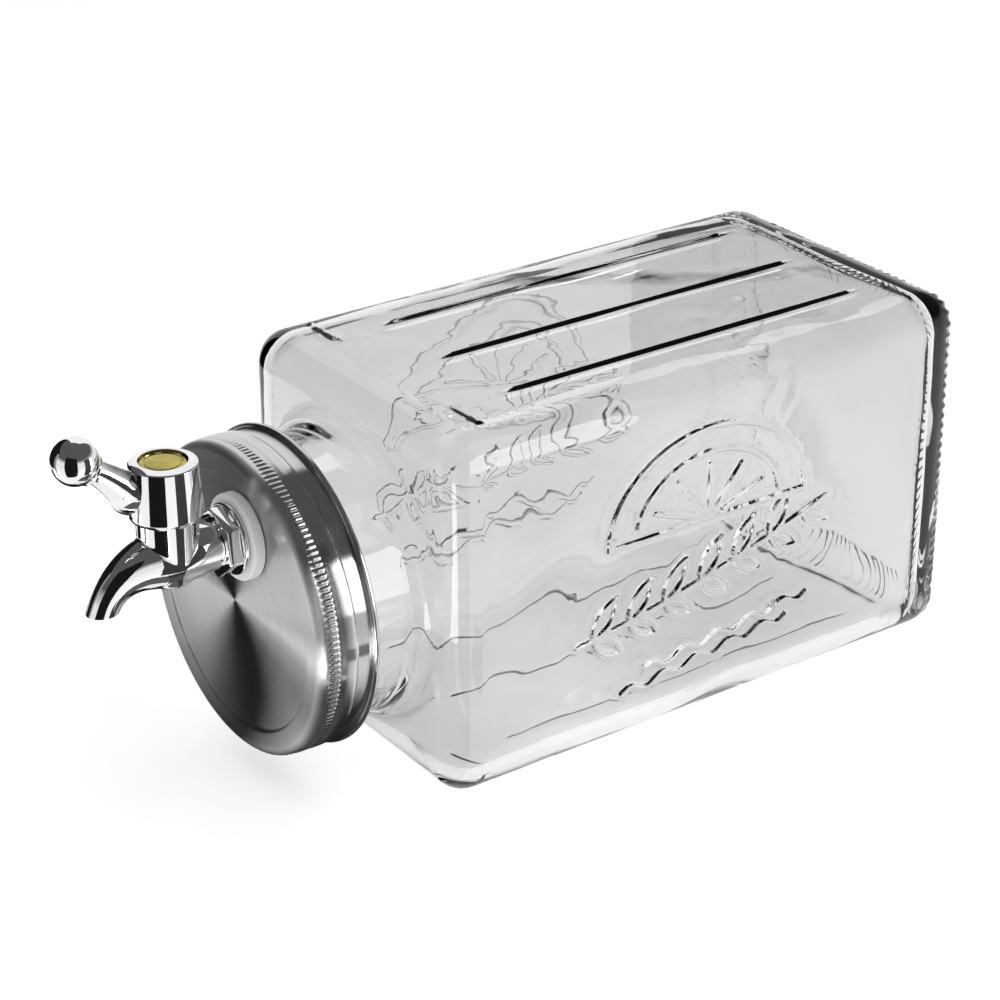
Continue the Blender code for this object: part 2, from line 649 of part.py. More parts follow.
def make_handle():
    at = tap_point(HUB_REACH, 0)
    handle = solid_turned("lever_handle", hub_outline(), at, material=CHROME)
    points = [Vector((0, -reach, height)) for reach, height, _ in arm_route()]
    arm = tube("lever_arm", points, [radius for _, _, radius in arm_route()], sides=4)
    arm.data.transform(Matrix.Diagonal((ARM_THICKNESS, 1, 1, 1)))
    arm.location = at
    ball_centre = Vector((0, -BALL_REACH, HUB_TOP + BALL_RISE))
    ball = solid_turned("lever_ball", ball_outline(), at + ball_centre, steps=24, collection=CUTTERS)
    slope = math.atan2(points[-1].z - points[-2].z, points[-2].y - points[-1].y)
    ball.rotation_euler = (math.radians(90) - slope, 0, 0)
    join(handle, arm, ball)

    counterbore = HUB_TOP - 0.0052
    bore = [(0.0, HUB_TOP + 0.001), (DISC_RADIUS + GAP, HUB_TOP + 0.001)]
    bore += [(DISC_RADIUS + GAP, HUB_TOP - 0.0019), (0.0046, HUB_TOP - 0.0019)]
    bore += [(0.0046, counterbore), (0.0023, counterbore)]
    bore += [(0.0023, STEM_TOP - 0.001), (0.0, STEM_TOP - 0.001)]
    screw_bore = solid_turned("screw_bore", bore, at, steps=36, collection=CUTTERS)
    socket_top = STEM_TOP + GAP
    socket_side = SQUARE_SIDE + 2 * GAP
    socket_height = socket_top - GLAND_HEAD_TOP
    socket_middle = tap_point(HUB_REACH, GLAND_HEAD_TOP + socket_height / 2)
    socket_size = (socket_side, socket_side, socket_height)
    socket = block("stem_socket", socket_size, socket_middle, collection=CUTTERS)
    skirt_top = GLAND_HEAD_TOP + 0.0008
    skirt_outline = [(0.0, skirt_top), (HUB_SKIRT_BORE - 0.001, skirt_top)]
    skirt_outline += [(HUB_SKIRT_BORE, skirt_top - 0.001), (HUB_SKIRT_BORE, HUB_FOOT - 0.002)]
    skirt_outline += [(0.0, HUB_FOOT - 0.002)]
    skirt = solid_turned("skirt_hollow", skirt_outline, at, collection=CUTTERS)
    cut(handle, screw_bore, socket, skirt)
    smooth(handle)

    seat = counterbore + GAP
    washer = ring_profile(0.0019, 0.0040, seat, seat + 0.0007)
    smooth(turned("spring_washer", washer, at, steps=28, material=STEEL))
    head_foot = seat + 0.0007 + GAP
    screw_outline = [(0.0, head_foot + 0.0017), (0.0030, head_foot + 0.0017), (0.0038, head_foot + 0.0008)]
    screw_outline += [(0.0038, head_foot), (0.0014, head_foot)]
    screw_outline += [(0.0014, STEM_TOP - 0.006), (0.0, STEM_TOP - 0.006)]
    screw = solid_turned("handle_screw", screw_outline, at, steps=28, material=STEEL)
    slot_middle = tap_point(HUB_REACH, head_foot + 0.0017)
    cut(screw, block("screw_slot", (0.0009, 0.009, 0.0014), slot_middle, collection=CUTTERS))
    smooth(screw)
    disc_foot = HUB_TOP - 0.0019 + GAP
    disc = [(0.0, disc_foot + DISC_THICKNESS), (DISC_RADIUS - 0.0004, disc_foot + DISC_THICKNESS)]
    disc += [(DISC_RADIUS, disc_foot + DISC_THICKNESS - 0.0004), (DISC_RADIUS, disc_foot), (0.0, disc_foot)]
    smooth(solid_turned("indicator_disc", disc, at, steps=40, material=GOLD))


make_jar()
make_lid()
make_tap_seals()
make_tap_body()
make_valve()
make_handle()
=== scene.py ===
"""The looks of the drinks jar: moulded glass on its side, a brushed screw lid and a chrome tap.

Every place comes from the frame's own boxes. Lengths are in metres.
"""

import math

import bmesh
import bpy
import numpy as np
from mathutils import Matrix, Vector
from mathutils.kdtree import KDTree


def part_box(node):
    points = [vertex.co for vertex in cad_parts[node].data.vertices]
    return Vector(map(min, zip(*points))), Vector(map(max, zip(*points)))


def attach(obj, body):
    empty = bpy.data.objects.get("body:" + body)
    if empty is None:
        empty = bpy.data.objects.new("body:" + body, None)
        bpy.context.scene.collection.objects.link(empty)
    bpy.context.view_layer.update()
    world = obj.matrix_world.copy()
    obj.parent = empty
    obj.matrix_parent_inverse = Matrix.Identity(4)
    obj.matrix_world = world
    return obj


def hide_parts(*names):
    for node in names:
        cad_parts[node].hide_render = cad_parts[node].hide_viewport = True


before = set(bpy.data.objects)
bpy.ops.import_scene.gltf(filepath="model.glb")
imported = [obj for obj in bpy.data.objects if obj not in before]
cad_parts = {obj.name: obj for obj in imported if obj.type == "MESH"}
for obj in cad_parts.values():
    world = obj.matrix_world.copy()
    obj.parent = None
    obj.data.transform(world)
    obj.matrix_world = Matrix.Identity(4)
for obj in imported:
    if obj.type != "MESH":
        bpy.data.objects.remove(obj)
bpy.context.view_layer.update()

GAP = 0.0003
LONGEST_RAY = 0.2  # further than any part of the jar is from its axis
HALVINGS = 34

# Places read from the frame
JAR_LOW, JAR_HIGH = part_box("jar")
LID_LOW, LID_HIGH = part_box("lid_shell")
WASHER_LOW, WASHER_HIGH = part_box("outer_washer")
DISC_LOW, DISC_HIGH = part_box("indicator_disc")

# Jar
RIB_HEIGHT = 0.0012
RIB_HALF_WIDTH = 0.0015
RIB_HALF_LENGTH = 0.080
RIB_SPACING = 0.0386
RIB_CLEAR = 0.0030  # no plain column of points is this near a rib
RIB_COLUMNS = (0, 0.00035, 0.0007, 0.001, 0.00125, 0.00155, 0.0022)
RIB_END_ROWS = (-0.0022, -0.0014, -0.0007, 0, 0.0007)
AXIS_Z = (JAR_LOW.z + JAR_HIGH.z) / 2
HALF_WIDTH = JAR_HIGH.x
HALF_HEIGHT = JAR_HIGH.z - RIB_HEIGHT - AXIS_Z
RIM_Y = JAR_LOW.y
BASE_Y = JAR_HIGH.y
SHOULDER_Y = BASE_Y - 0.242
BODY_CENTRE = np.array([0.0, (SHOULDER_Y + BASE_Y) / 2, AXIS_Z])
BODY_HALF = np.array([HALF_WIDTH, (BASE_Y - SHOULDER_Y) / 2, HALF_HEIGHT])
EDGE_RADIUS = 0.013
FLAT_X = HALF_WIDTH - EDGE_RADIUS
FLAT_Z = HALF_HEIGHT - EDGE_RADIUS
WALL = 0.0045
BASE_WALL = 0.0085
INNER_EDGE_RADIUS = 0.0115
NECK_RADIUS = 0.0536
NECK_BORE = 0.0488
NECK_BLEND = 0.0098
RIM_ROUND = 0.0015
LUG_CENTRE = (0.0465, SHOULDER_Y + 0.021)
LUG_HALF = (0.009, 0.0016)
LUG_HEIGHT = 0.00095
PUSH_UP_RADIUS = 0.046
PUSH_UP_DEPTH = 0.0035
THREAD_PITCH = 0.006
THREAD_TURNS = 1.15
THREAD_RIDGE = 0.00165
THREAD_START = 0.008  # behind the lid's panel, to the thread's last turn
THREAD_HALF_WIDTH = 0.0021
HEEL_RIDGES = 120
HEEL_RIDGE_HEIGHT = 0.0009
EMBOSS_HEIGHT = 0.0013
EMBOSS_HALF_WIDTH = 0.0015
EMBOSS_EDGE = 0.0009
FACE_MARGIN = 0.0006  # a point this near a flat side counts as on it

# Lid, with distances forward of its panel
RING_FRONT = 0.0011
PANEL_Y = LID_LOW.y + RING_FRONT
LID_RADIUS = 0.059
LID_STEEL = 0.0006
PANEL_RADIUS = 0.0491
LID_DEPTH = LID_HIGH.y - PANEL_Y
LID_CORNER = 0.00345
LID_NECK_RADIUS = LID_RADIUS - 0.0007
RIM_BEAD = 0.0013
KNURL_TEETH = 168
KNURL_HEIGHT = 0.00045
KNURL_ROOT = 0.0002
KNURL_FROM, KNURL_TO = -0.0034, -0.0075

# Tap, with distances forward of the lid's panel and heights above the barrel's axis
TAP_X = (WASHER_LOW.x + WASHER_HIGH.x) / 2
TAP_Z = (WASHER_LOW.z + WASHER_HIGH.z) / 2
HUB_REACH = PANEL_Y - (DISC_LOW.y + DISC_HIGH.y) / 2
WASHER_RADIUS = (WASHER_HIGH.x - WASHER_LOW.x) / 2
WASHER_FRONT = PANEL_Y - WASHER_LOW.y
SHANK_RADIUS = 0.00775
SHANK_HOLE = 0.00808
SHANK_INSIDE = 0.0165
FLANGE_RADIUS = 0.0133
FLANGE_FRONT = 0.0067
HEX_ACROSS_FLATS = 0.0225
HEX_FRONT = 0.0122
HEX_TURN = math.radians(10)
WATERWAY = 0.004
TAP_NECK_RADIUS = 0.01065
TAP_NECK_TOP = 0.0182
SPOUT_TIP_DROP = 0.0134
CHAMBER_RADIUS = 0.0065
CHAMBER_FLOOR = -0.007
GLAND_BORE = 0.0078
GLAND_SEAT = 0.0098
GLAND_HEAD_TOP = 0.0214
STEM_TOP = 0.0292
SQUARE_SIDE = 0.0056
HUB_FOOT = 0.0162
HUB_TOP = 0.0372
HUB_FOOT_RADIUS = 0.01335
HUB_TOP_RADIUS = 0.0122
HUB_SKIRT_BORE = 0.0116
HUB_CROWN = 0.0008
DISC_RECESS = 0.0019
SCREW_HEAD_BORE = 0.0046
SCREW_BORE = 0.0023
DISC_RADIUS = 0.0085
BALL_RADIUS = 0.0085
BALL_REACH = 0.0330
BALL_RISE = 0.0084

# Camera
CAMERA_AZIMUTH = math.radians(54.279)
CAMERA_ELEVATION = math.radians(26.034)
CAMERA_TARGET = Vector((0, -0.0565, 0.0795))
CAMERA_DISTANCE = 1.0525
CAMERA_LENS = 99.6
CAMERA_SENSOR = 36


# ---- mesh tools


def add_object(name, mesh, material=None, angle=30):
    obj = bpy.data.objects.new(name, mesh)
    bpy.context.scene.collection.objects.link(obj)
    if material is not None:
        mesh.materials.append(material)
    if angle is not None:
        mesh.shade_smooth()
        mesh.set_sharp_from_angle(angle=math.radians(angle))
    return obj


def mesh_from(name, points, faces):
    mesh = bpy.data.meshes.new(name)
    mesh.from_pydata([tuple(p) for p in points], [], [tuple(f) for f in faces])
    shape = bmesh.new()
    shape.from_mesh(mesh)
    bmesh.ops.remove_doubles(shape, verts=shape.verts[:], dist=1e-6)
    bmesh.ops.recalc_face_normals(shape, faces=shape.faces[:])
    shape.to_mesh(mesh)
    shape.free()
    return mesh


def grid_faces(rows, columns, first=0):
    """Quads of a grid that closes on itself around each row."""
    faces = []
    for i in range(rows - 1):
        for j in range(columns):
            a = first + i * columns + j
            b = first + i * columns + (j + 1) % columns
            faces.append((a, b, b + columns, a + columns))
    return faces


def object_from(shape, name, material=None, angle=30):
    mesh = bpy.data.meshes.new(name)
    shape.to_mesh(mesh)
    shape.free()
    return add_object(name, mesh, material, angle)


def turned(name, profile, centre, axis="Z", steps=128, closed=False, material=None, wave=None):
    """Turns (radius, height) points about Z, or about -Y with axis="Y".

    An open profile starts and ends on the axis. wave(radius, height, turn) changes a radius.
    """
    turns = np.arange(steps) * math.tau / steps
    points = []
    for radius, height in profile:
        radii = np.full(steps, radius) if wave is None else wave(radius, height, turns)
        side, lift = radii * np.cos(turns), radii * np.sin(turns)
        along = np.full(steps, height)
        if axis == "Y":
            points.append(np.stack([side, -along, lift], axis=1))
        else:
            points.append(np.stack([side, lift, along], axis=1))
    rows = len(profile)
    faces = grid_faces(rows, steps)
    if closed:
        last = (rows - 1) * steps
        faces += [(last + j, last + (j + 1) % steps, (j + 1) % steps, j) for j in range(steps)]
    mesh = mesh_from(name, np.concatenate(points) + np.array(centre), faces)
    return add_object(name, mesh, material)


def arc(centre, radius, start, end, count):
    """Points of an arc, in degrees, as (radius, height) pairs."""
    angles = [math.radians(start + (end - start) * i / count) for i in range(count + 1)]
    return [(centre[0] + radius * math.cos(a), centre[1] + radius * math.sin(a)) for a in angles]


def rounded(corners, radii, count=6):
    """An open outline with its inner corners rounded, as (radius, height) pairs."""
    outline = [corners[0]]
    for before, corner, after, radius in zip(corners, corners[1:], corners[2:], radii):
        here = Vector(corner)
        a = (Vector(before) - here).normalized()
        b = (Vector(after) - here).normalized()
        half = a.angle(b) / 2
        if radius <= 0 or half > 1.55:
            outline.append(corner)
            continue
        reach = radius / math.tan(half)
        start, end = here + a * reach, here + b * reach
        for i in range(count + 1):
            t = i / count
            outline.append(tuple(start * (1 - t) ** 2 + here * 2 * t * (1 - t) + end * t**2))
    outline.append(corners[-1])
    return outline


def smooth_route(points, steps):
    """Points on a smooth curve through the given ones, with every number in them carried along."""
    knots = np.array(points, float)
    ends = np.concatenate([[2 * knots[0] - knots[1]], knots, [2 * knots[-1] - knots[-2]]])
    route = []
    for i in range(len(knots) - 1):
        p0, p1, p2, p3 = ends[i : i + 4]
        for t in np.arange(steps) / steps:
            route.append(
                0.5 * (2 * p1 + (p2 - p0) * t + (2 * p0 - 5 * p1 + 4 * p2 - p3) * t**2
                + (3 * p1 - p0 - 3 * p2 + p3) * t**3)
            )
    route.append(knots[-1])
    return np.array(route)


def swept(name, route, sides=64, power=2.0):
    """A capped solid along (y, z, half depth, half width) points in the plane x = 0.

    power shapes its section: 2 is an ellipse, and a lower number pulls ridges out on its sides.
    """
    middle = route[:, :2]
    tangent = np.gradient(middle, axis=0)
    tangent /= np.linalg.norm(tangent, axis=1)[:, None]
    across = np.stack([-tangent[:, 1], tangent[:, 0]], axis=1)
    turns = np.arange(sides) * math.tau / sides
    c, s = np.cos(turns), np.sin(turns)
    shape_c = np.sign(c) * np.abs(c) ** (2 / power)
    shape_s = np.sign(s) * np.abs(s) ** (2 / power)
    points = []
    for centre, normal, depth, width in zip(middle, across, route[:, 2], route[:, 3]):
        flat = centre + np.outer(shape_s * depth, normal)
        points.append(np.column_stack([shape_c * width, flat]))
    rows = len(route)
    faces = grid_faces(rows, sides)
    faces += [tuple(range(sides)), tuple((rows - 1) * sides + j for j in reversed(range(sides)))]
    return add_object(name, mesh_from(name, np.concatenate(points), faces))


def prism(name, radius, depth, centre, sides, axis="Z", turn=0.0, edge=0.0):
    """A cylinder or a bar with flat sides, centred on its middle."""
    shape = bmesh.new()
    bmesh.ops.create_cone(
        shape, cap_ends=True, segments=sides, radius1=radius, radius2=radius, depth=depth
    )
    bmesh.ops.rotate(shape, verts=shape.verts[:], matrix=Matrix.Rotation(turn, 3, "Z"))
    if edge:
        bmesh.ops.bevel(
            shape, geom=shape.edges[:], offset=edge, segments=4, profile=0.5, affect="EDGES"
        )
    if axis == "Y":
        tip = Matrix.Rotation(math.radians(90), 3, "X")
        bmesh.ops.rotate(shape, verts=shape.verts[:], matrix=tip)
    bmesh.ops.translate(shape, verts=shape.verts[:], vec=centre)
    bmesh.ops.recalc_face_normals(shape, faces=shape.faces[:])
    return object_from(shape, name)


def block(name, size, centre):
    shape = bmesh.new()
    place = Matrix.Translation(centre) @ Matrix.Diagonal((*size, 1))
    bmesh.ops.create_cube(shape, size=1.0, matrix=place)
    return object_from(shape, name)


def apply_modifiers(obj):
    graph = bpy.context.evaluated_depsgraph_get()
    mesh = bpy.data.meshes.new_from_object(obj.evaluated_get(graph))
    old = obj.data
    obj.modifiers.clear()
    obj.data = mesh
    mesh.name = old.name
    bpy.data.meshes.remove(old)


def combine(obj, operation, *others, angle=30):
    """Joins or cuts with each of the other solids, which are then removed."""
    for other in others:
        modifier = obj.modifiers.new(other.name, "BOOLEAN")
        modifier.object = other
        modifier.operation = operation
        modifier.solver = "MANIFOLD"
    apply_modifiers(obj)
    for other in others:
        bpy.data.objects.remove(other, do_unlink=True)
    obj.data.shade_smooth()
    obj.data.set_sharp_from_angle(angle=math.radians(angle))
    return obj


# ---- materials


class Nodes:
    """A short way to write one material's nodes."""

    def __init__(self, name):
        self.material = bpy.data.materials.new(name)
        self.material.use_nodes = True
        self.tree = self.material.node_tree
        self.shader = self.tree.nodes["Principled BSDF"]
        self.output = self.tree.nodes["Material Output"]

    def add(self, kind, **settings):
        node = self.tree.nodes.new(kind)
        for key, value in settings.items():
            setattr(node, key, value)
        return node

    def link(self, source, target):
        self.tree.links.new(source, target)

    def set(self, **values):
        for key, value in values.items():
            self.shader.inputs[key.replace("_", " ")].default_value = value

    def object_coordinates(self):
        return self.add("ShaderNodeTexCoord").outputs["Object"]

    def math(self, operation, a, b=None):
        node = self.add("ShaderNodeMath", operation=operation)
        for socket, value in zip(node.inputs, (a, b)):
            if value is None:
                continue
            if isinstance(value, (int, float)):
                socket.default_value = value
            else:
                self.link(value, socket)
        return node.outputs[0]

    def noise(self, vector, scale, detail=3.0, roughness=0.5):
        node = self.add("ShaderNodeTexNoise")
        node.inputs["Scale"].default_value = scale
        node.inputs["Detail"].default_value = detail
        node.inputs["Roughness"].default_value = roughness
        self.link(vector, node.inputs["Vector"])
        return node.outputs["Fac"]

    def ramp(self, value, low, high, from_low=0.3, from_high=0.7):
        """Maps a value's middle range onto low to high."""
        node = self.add("ShaderNodeMapRange")
        node.inputs["From Min"].default_value = from_low
        node.inputs["From Max"].default_value = from_high
        node.inputs["To Min"].default_value = low
        node.inputs["To Max"].default_value = high
        self.link(value, node.inputs["Value"])
        return node.outputs["Result"]

    def colour(self, value, dark, light):
        """Mixes the surface's colour from two, by the middle range of a value."""
        node = self.add("ShaderNodeMix", data_type="RGBA")
        self.link(self.ramp(value, 0, 1), node.inputs[0])
        # The colour sockets are the ones after the number's and the vector's.
        node.inputs[6].default_value = (*dark, 1)
        node.inputs[7].default_value = (*light, 1)
        self.link(node.outputs[2], self.shader.inputs["Base Color"])

    def roughness(self, value):
        self.link(value, self.shader.inputs["Roughness"])

    def bump(self, height, strength, distance):
        node = self.add("ShaderNodeBump")
        node.inputs["Strength"].default_value = strength
        node.inputs["Distance"].default_value = distance
        self.link(height, node.inputs["Height"])
        self.link(node.outputs["Normal"], self.shader.inputs["Normal"])


def glass_material():
    nodes = Nodes("clear_glass")
    nodes.set(Roughness=0.0, IOR=1.5)
    nodes.shader.inputs["Transmission Weight"].default_value = 1.0
    place = nodes.object_coordinates()
    nodes.colour(nodes.noise(place, 9.0, 2.0), (0.73, 0.735, 0.735), (0.82, 0.825, 0.825))
    nodes.bump(nodes.noise(place, 34.0, 2.0), 0.25, 0.0012)
    # Its shadow is light, as the shadow of clear glass is.
    path = nodes.add("ShaderNodeLightPath")
    clear = nodes.add("ShaderNodeBsdfTransparent")
    clear.inputs["Color"].default_value = (0.86, 0.865, 0.865, 1)
    mix = nodes.add("ShaderNodeMixShader")
    nodes.link(path.outputs["Is Shadow Ray"], mix.inputs[0])
    nodes.link(nodes.shader.outputs[0], mix.inputs[1])
    nodes.link(clear.outputs[0], mix.inputs[2])
    nodes.link(mix.outputs[0], nodes.output.inputs["Surface"])
    return nodes.material


def lid_coordinates(nodes):
    """A point's distance from the lid's axis, its depth along the axis and its angle about it."""
    parts = nodes.add("ShaderNodeSeparateXYZ")
    nodes.link(nodes.object_coordinates(), parts.inputs[0])
    height = nodes.math("SUBTRACT", parts.outputs["Z"], AXIS_Z)
    across = nodes.math("POWER", parts.outputs["X"], 2.0)
    squares = nodes.math("ADD", across, nodes.math("POWER", height, 2.0))
    angle = nodes.math("ARCTAN2", height, parts.outputs["X"])
    return nodes.math("SQRT", squares), parts.outputs["Y"], angle


def brushed_steel():
    """Steel brushed around the lid's axis: fine rings on the panel, fine bands on the side."""
    nodes = Nodes("brushed_steel")
    nodes.set(Metallic=1.0, Anisotropic=1.0, Anisotropic_Rotation=0.25)
    radius, depth, angle = lid_coordinates(nodes)
    join = nodes.add("ShaderNodeCombineXYZ")
    nodes.link(radius, join.inputs[0])
    nodes.link(depth, join.inputs[1])
    nodes.link(nodes.math("MULTIPLY", angle, 0.00012), join.inputs[2])
    fine = nodes.noise(join.outputs[0], 1500.0, 2.0, 0.6)
    broad = nodes.noise(join.outputs[0], 420.0, 3.0, 0.6)
    cloud = nodes.noise(nodes.object_coordinates(), 28.0, 3.0)
    polish = nodes.ramp(depth, 1.0, 0.5, PANEL_Y, PANEL_Y + 0.003)
    nodes.roughness(nodes.math("MULTIPLY", nodes.ramp(broad, 0.36, 0.42), polish))
    lines = nodes.math("MULTIPLY", fine, 0.6)
    lines = nodes.math("ADD", lines, nodes.math("MULTIPLY", cloud, 0.4))
    nodes.colour(lines, (0.58, 0.575, 0.57), (0.72, 0.715, 0.71))
    tangent = nodes.add("ShaderNodeTangent", direction_type="RADIAL", axis="Y")
    nodes.link(tangent.outputs[0], nodes.shader.inputs["Tangent"])
    nodes.bump(fine, 0.04, 0.00001)
    return nodes.material


def metal(name, dark, light, roughness, scale=60.0, bump=0.0):
    """Plated or plain metal with faint smudges, and fine dents where bump isn't 0."""
    nodes = Nodes(name)
    nodes.set(Metallic=1.0)
    place = nodes.object_coordinates()
    smudge = nodes.noise(place, scale, 4.0, 0.55)
    nodes.roughness(nodes.ramp(smudge, *roughness))
    nodes.colour(smudge, dark, light)
    if bump:
        nodes.bump(nodes.noise(place, 900.0, 2.0), bump, 0.00005)
    return nodes.material


def moulded(name, dark, light, roughness):
    """Rubber or plastic with a fine moulded grain."""
    nodes = Nodes(name)
    place = nodes.object_coordinates()
    grain = nodes.noise(place, 500.0, 3.0)
    nodes.roughness(nodes.ramp(grain, *roughness))
    nodes.colour(nodes.noise(place, 45.0, 3.0), dark, light)
    nodes.bump(grain, 0.2, 0.0001)
    return nodes.material


GLASS = glass_material()
STEEL = brushed_steel()
CHROME = metal("chrome", (0.80, 0.80, 0.81), (0.90, 0.90, 0.91), (0.02, 0.05))
GOLD = metal("gold_disc", (0.30, 0.25, 0.04), (0.66, 0.55, 0.13), (0.10, 0.22), 110.0, 0.1)
BRASS = metal("brass", (0.62, 0.45, 0.19), (0.80, 0.62, 0.30), (0.18, 0.34), 120.0, 0.1)
GREYS = (0.48, 0.48, 0.48), (0.66, 0.66, 0.65)
PLAIN_STEEL = metal("plain_steel", *GREYS, (0.20, 0.38), 200.0, 0.1)
WHITE_RUBBER = moulded("white_rubber", (0.80, 0.80, 0.79), (0.90, 0.90, 0.89), (0.42, 0.60))
WHITE_PLASTIC = moulded("white_plastic", (0.84, 0.84, 0.83), (0.91, 0.91, 0.90), (0.30, 0.45))
DARK_RUBBER = moulded("dark_rubber", (0.03, 0.03, 0.03), (0.07, 0.07, 0.07), (0.50, 0.70))


# ---- embossed motif


def stroke_line(start, end, count):
    across, rise = end[0] - start[0], end[1] - start[1]
    return [
        (start[0] + across * i / count, start[1] + rise * i / count) for i in range(count + 1)
    ]


def stroke_bend(start, towards, end, count=40):
    """A curve from start to end that is pulled towards a third point."""
    points = []
    for i in range(count + 1):
        t = i / count
        a, b, c = (1 - t) ** 2, 2 * t * (1 - t), t**2
        points.append(tuple(a * start[k] + b * towards[k] + c * end[k] for k in (0, 1)))
    return points


def slice_strokes():
    """Half a slice of fruit, stretched sideways: rind, pith and the lines between segments."""
    centre = (-0.010, 0.0855)
    stretch = 1.24

    def at(radius, degrees):
        turn = math.radians(degrees)
        along = centre[0] + stretch * radius * math.cos(turn)
        return along, centre[1] + radius * math.sin(turn)

    rind = [at(0.0375, degrees) for degrees in np.linspace(0, 180, 160)]
    yield rind
    yield stroke_line(rind[0], rind[-1], 120)
    yield [at(0.0275, degrees) for degrees in np.linspace(8, 172, 120)]
    for degrees in np.linspace(24, 156, 5):
        yield stroke_line(at(0.0060, degrees), at(0.0225, degrees), 36)


def leaf_strokes(foot, direction, length, width):
    """A pointed leaf with two bowed sides."""
    along = Vector(direction).normalized()
    across = Vector((-along.y, along.x))
    foot = Vector(foot)
    tip = foot + along * length
    for side in (-1, 1):
        belly = foot + along * length * 0.45 + across * side * width
        yield stroke_bend(foot, belly, tip)


def sprig_strokes():
    """A long stem with leaves on both sides."""
    steps = 160
    stem = stroke_bend((-0.071, 0.050), (-0.010, 0.058), (0.048, 0.079), steps)
    yield stem
    last = 0.90
    for share in (0.06, 0.20, 0.34, 0.48, 0.62, 0.76, last):
        step = round(share * steps)
        at, after = stem[step], stem[step + 2]
        lean = math.atan2(after[1] - at[1], after[0] - at[0])
        # The last leaf above the stem would run into the slice.
        for side, length in ((-1, 0.0160),) if share == last else ((-1, 0.0160), (1, 0.0180)):
            turn = lean + side * math.radians(44)
            yield from leaf_strokes(at, (math.cos(turn), math.sin(turn)), length, 0.0066)


def wave_strokes():
    """Two rising rows of five ripples under the sprig."""
    rise, swing = 0.009, 0.0016
    for low, start, end in ((0.0235, -0.050, 0.030), (0.0305, -0.040, 0.040)):
        yield [
            (start + (end - start) * t, low + rise * t + swing * math.sin(math.tau * 5 * t))
            for t in np.linspace(0, 1, 240)
        ]


class Strokes:
    """The nearest distance from a point of a side face to the motif's lines."""

    def __init__(self):
        self.points = []
        self.tangents = []
        for stroke in (*slice_strokes(), *sprig_strokes(), *wave_strokes()):
            line = np.array(stroke)
            tangent = np.gradient(line, axis=0)
            tangent /= np.maximum(np.linalg.norm(tangent, axis=1), 1e-9)[:, None]
            self.points += list(line)
            self.tangents += list(tangent)
        self.tree = KDTree(len(self.points))
        for i, point in enumerate(self.points):
            self.tree.insert((point[0], point[1], 0), i)
        self.tree.balance()

    def distance(self, y, z):
        _, index, far = self.tree.find((y, z, 0))
        point, tangent = self.points[index], self.tangents[index]
        offset = (y - point[0], z - point[1])
        along = offset[0] * tangent[0] + offset[1] * tangent[1]
        if abs(along) < 0.0006:
            return abs(offset[0] * tangent[1] - offset[1] * tangent[0])
        return far


STROKES = Strokes()


# ---- jar


def smooth_union(a, b, blend):
    share = np.clip(0.5 + 0.5 * (b - a) / blend, 0, 1)
    return b * (1 - share) + a * share - blend * share * (1 - share)


def jar_distance(points, centre, half, edge, neck_radius, blend):
    """Signed distance to a rounded body joined smoothly to a round neck."""
    outside = np.abs(points - centre) - (half - edge)
    body = np.linalg.norm(np.maximum(outside, 0), axis=-1) - edge
    body += np.minimum(outside.max(axis=-1), 0)
    radius = np.hypot(points[..., 0], points[..., 2] - AXIS_Z)
    neck = np.maximum(radius - neck_radius, points[..., 1] - (SHOULDER_Y + 0.05))
    return smooth_union(body, neck, blend)


def outer_distance(points):
    return jar_distance(points, BODY_CENTRE, BODY_HALF, EDGE_RADIUS, NECK_RADIUS, NECK_BLEND)


INNER_CENTRE = BODY_CENTRE + np.array([0, (WALL - BASE_WALL) / 2, 0])
INNER_HALF = BODY_HALF - np.array([WALL, (WALL + BASE_WALL) / 2, WALL])


def inner_distance(points):
    return jar_distance(points, INNER_CENTRE, INNER_HALF, INNER_EDGE_RADIUS, NECK_BORE, NECK_BLEND)


def gradient(distance, points):
    step = 1e-5
    slopes = []
    for k in range(3):
        shift = np.zeros(3)
        shift[k] = step
        slopes.append(distance(points + shift) - distance(points - shift))
    normal = np.stack(slopes, axis=-1)
    return normal / np.linalg.norm(normal, axis=-1)[..., None]


def cast(distance, rows, columns):
    """Where rays from the axis leave the surface.

    There is a row for each (start, tilt) and a column for each turn.
    """
    starts = np.array([start for start, _ in rows])[:, None]
    tilts = np.radians([tilt for _, tilt in rows])[:, None]
    turns = np.array(columns)[None, :]
    level = np.cos(tilts)
    along = np.sin(tilts) * np.ones_like(turns)
    direction = np.stack([level * np.cos(turns), along, level * np.sin(turns)], axis=-1)
    origin = np.zeros_like(direction)
    origin[..., 1] = starts
    origin[..., 2] = AXIS_Z
    near = np.zeros(direction.shape[:2])
    far = np.full(direction.shape[:2], LONGEST_RAY)
    for _ in range(HALVINGS):
        middle = (near + far) / 2
        inside = distance(origin + direction * middle[..., None]) < 0
        near = np.where(inside, middle, near)
        far = np.where(inside, far, middle)
    return origin + direction * near[..., None]


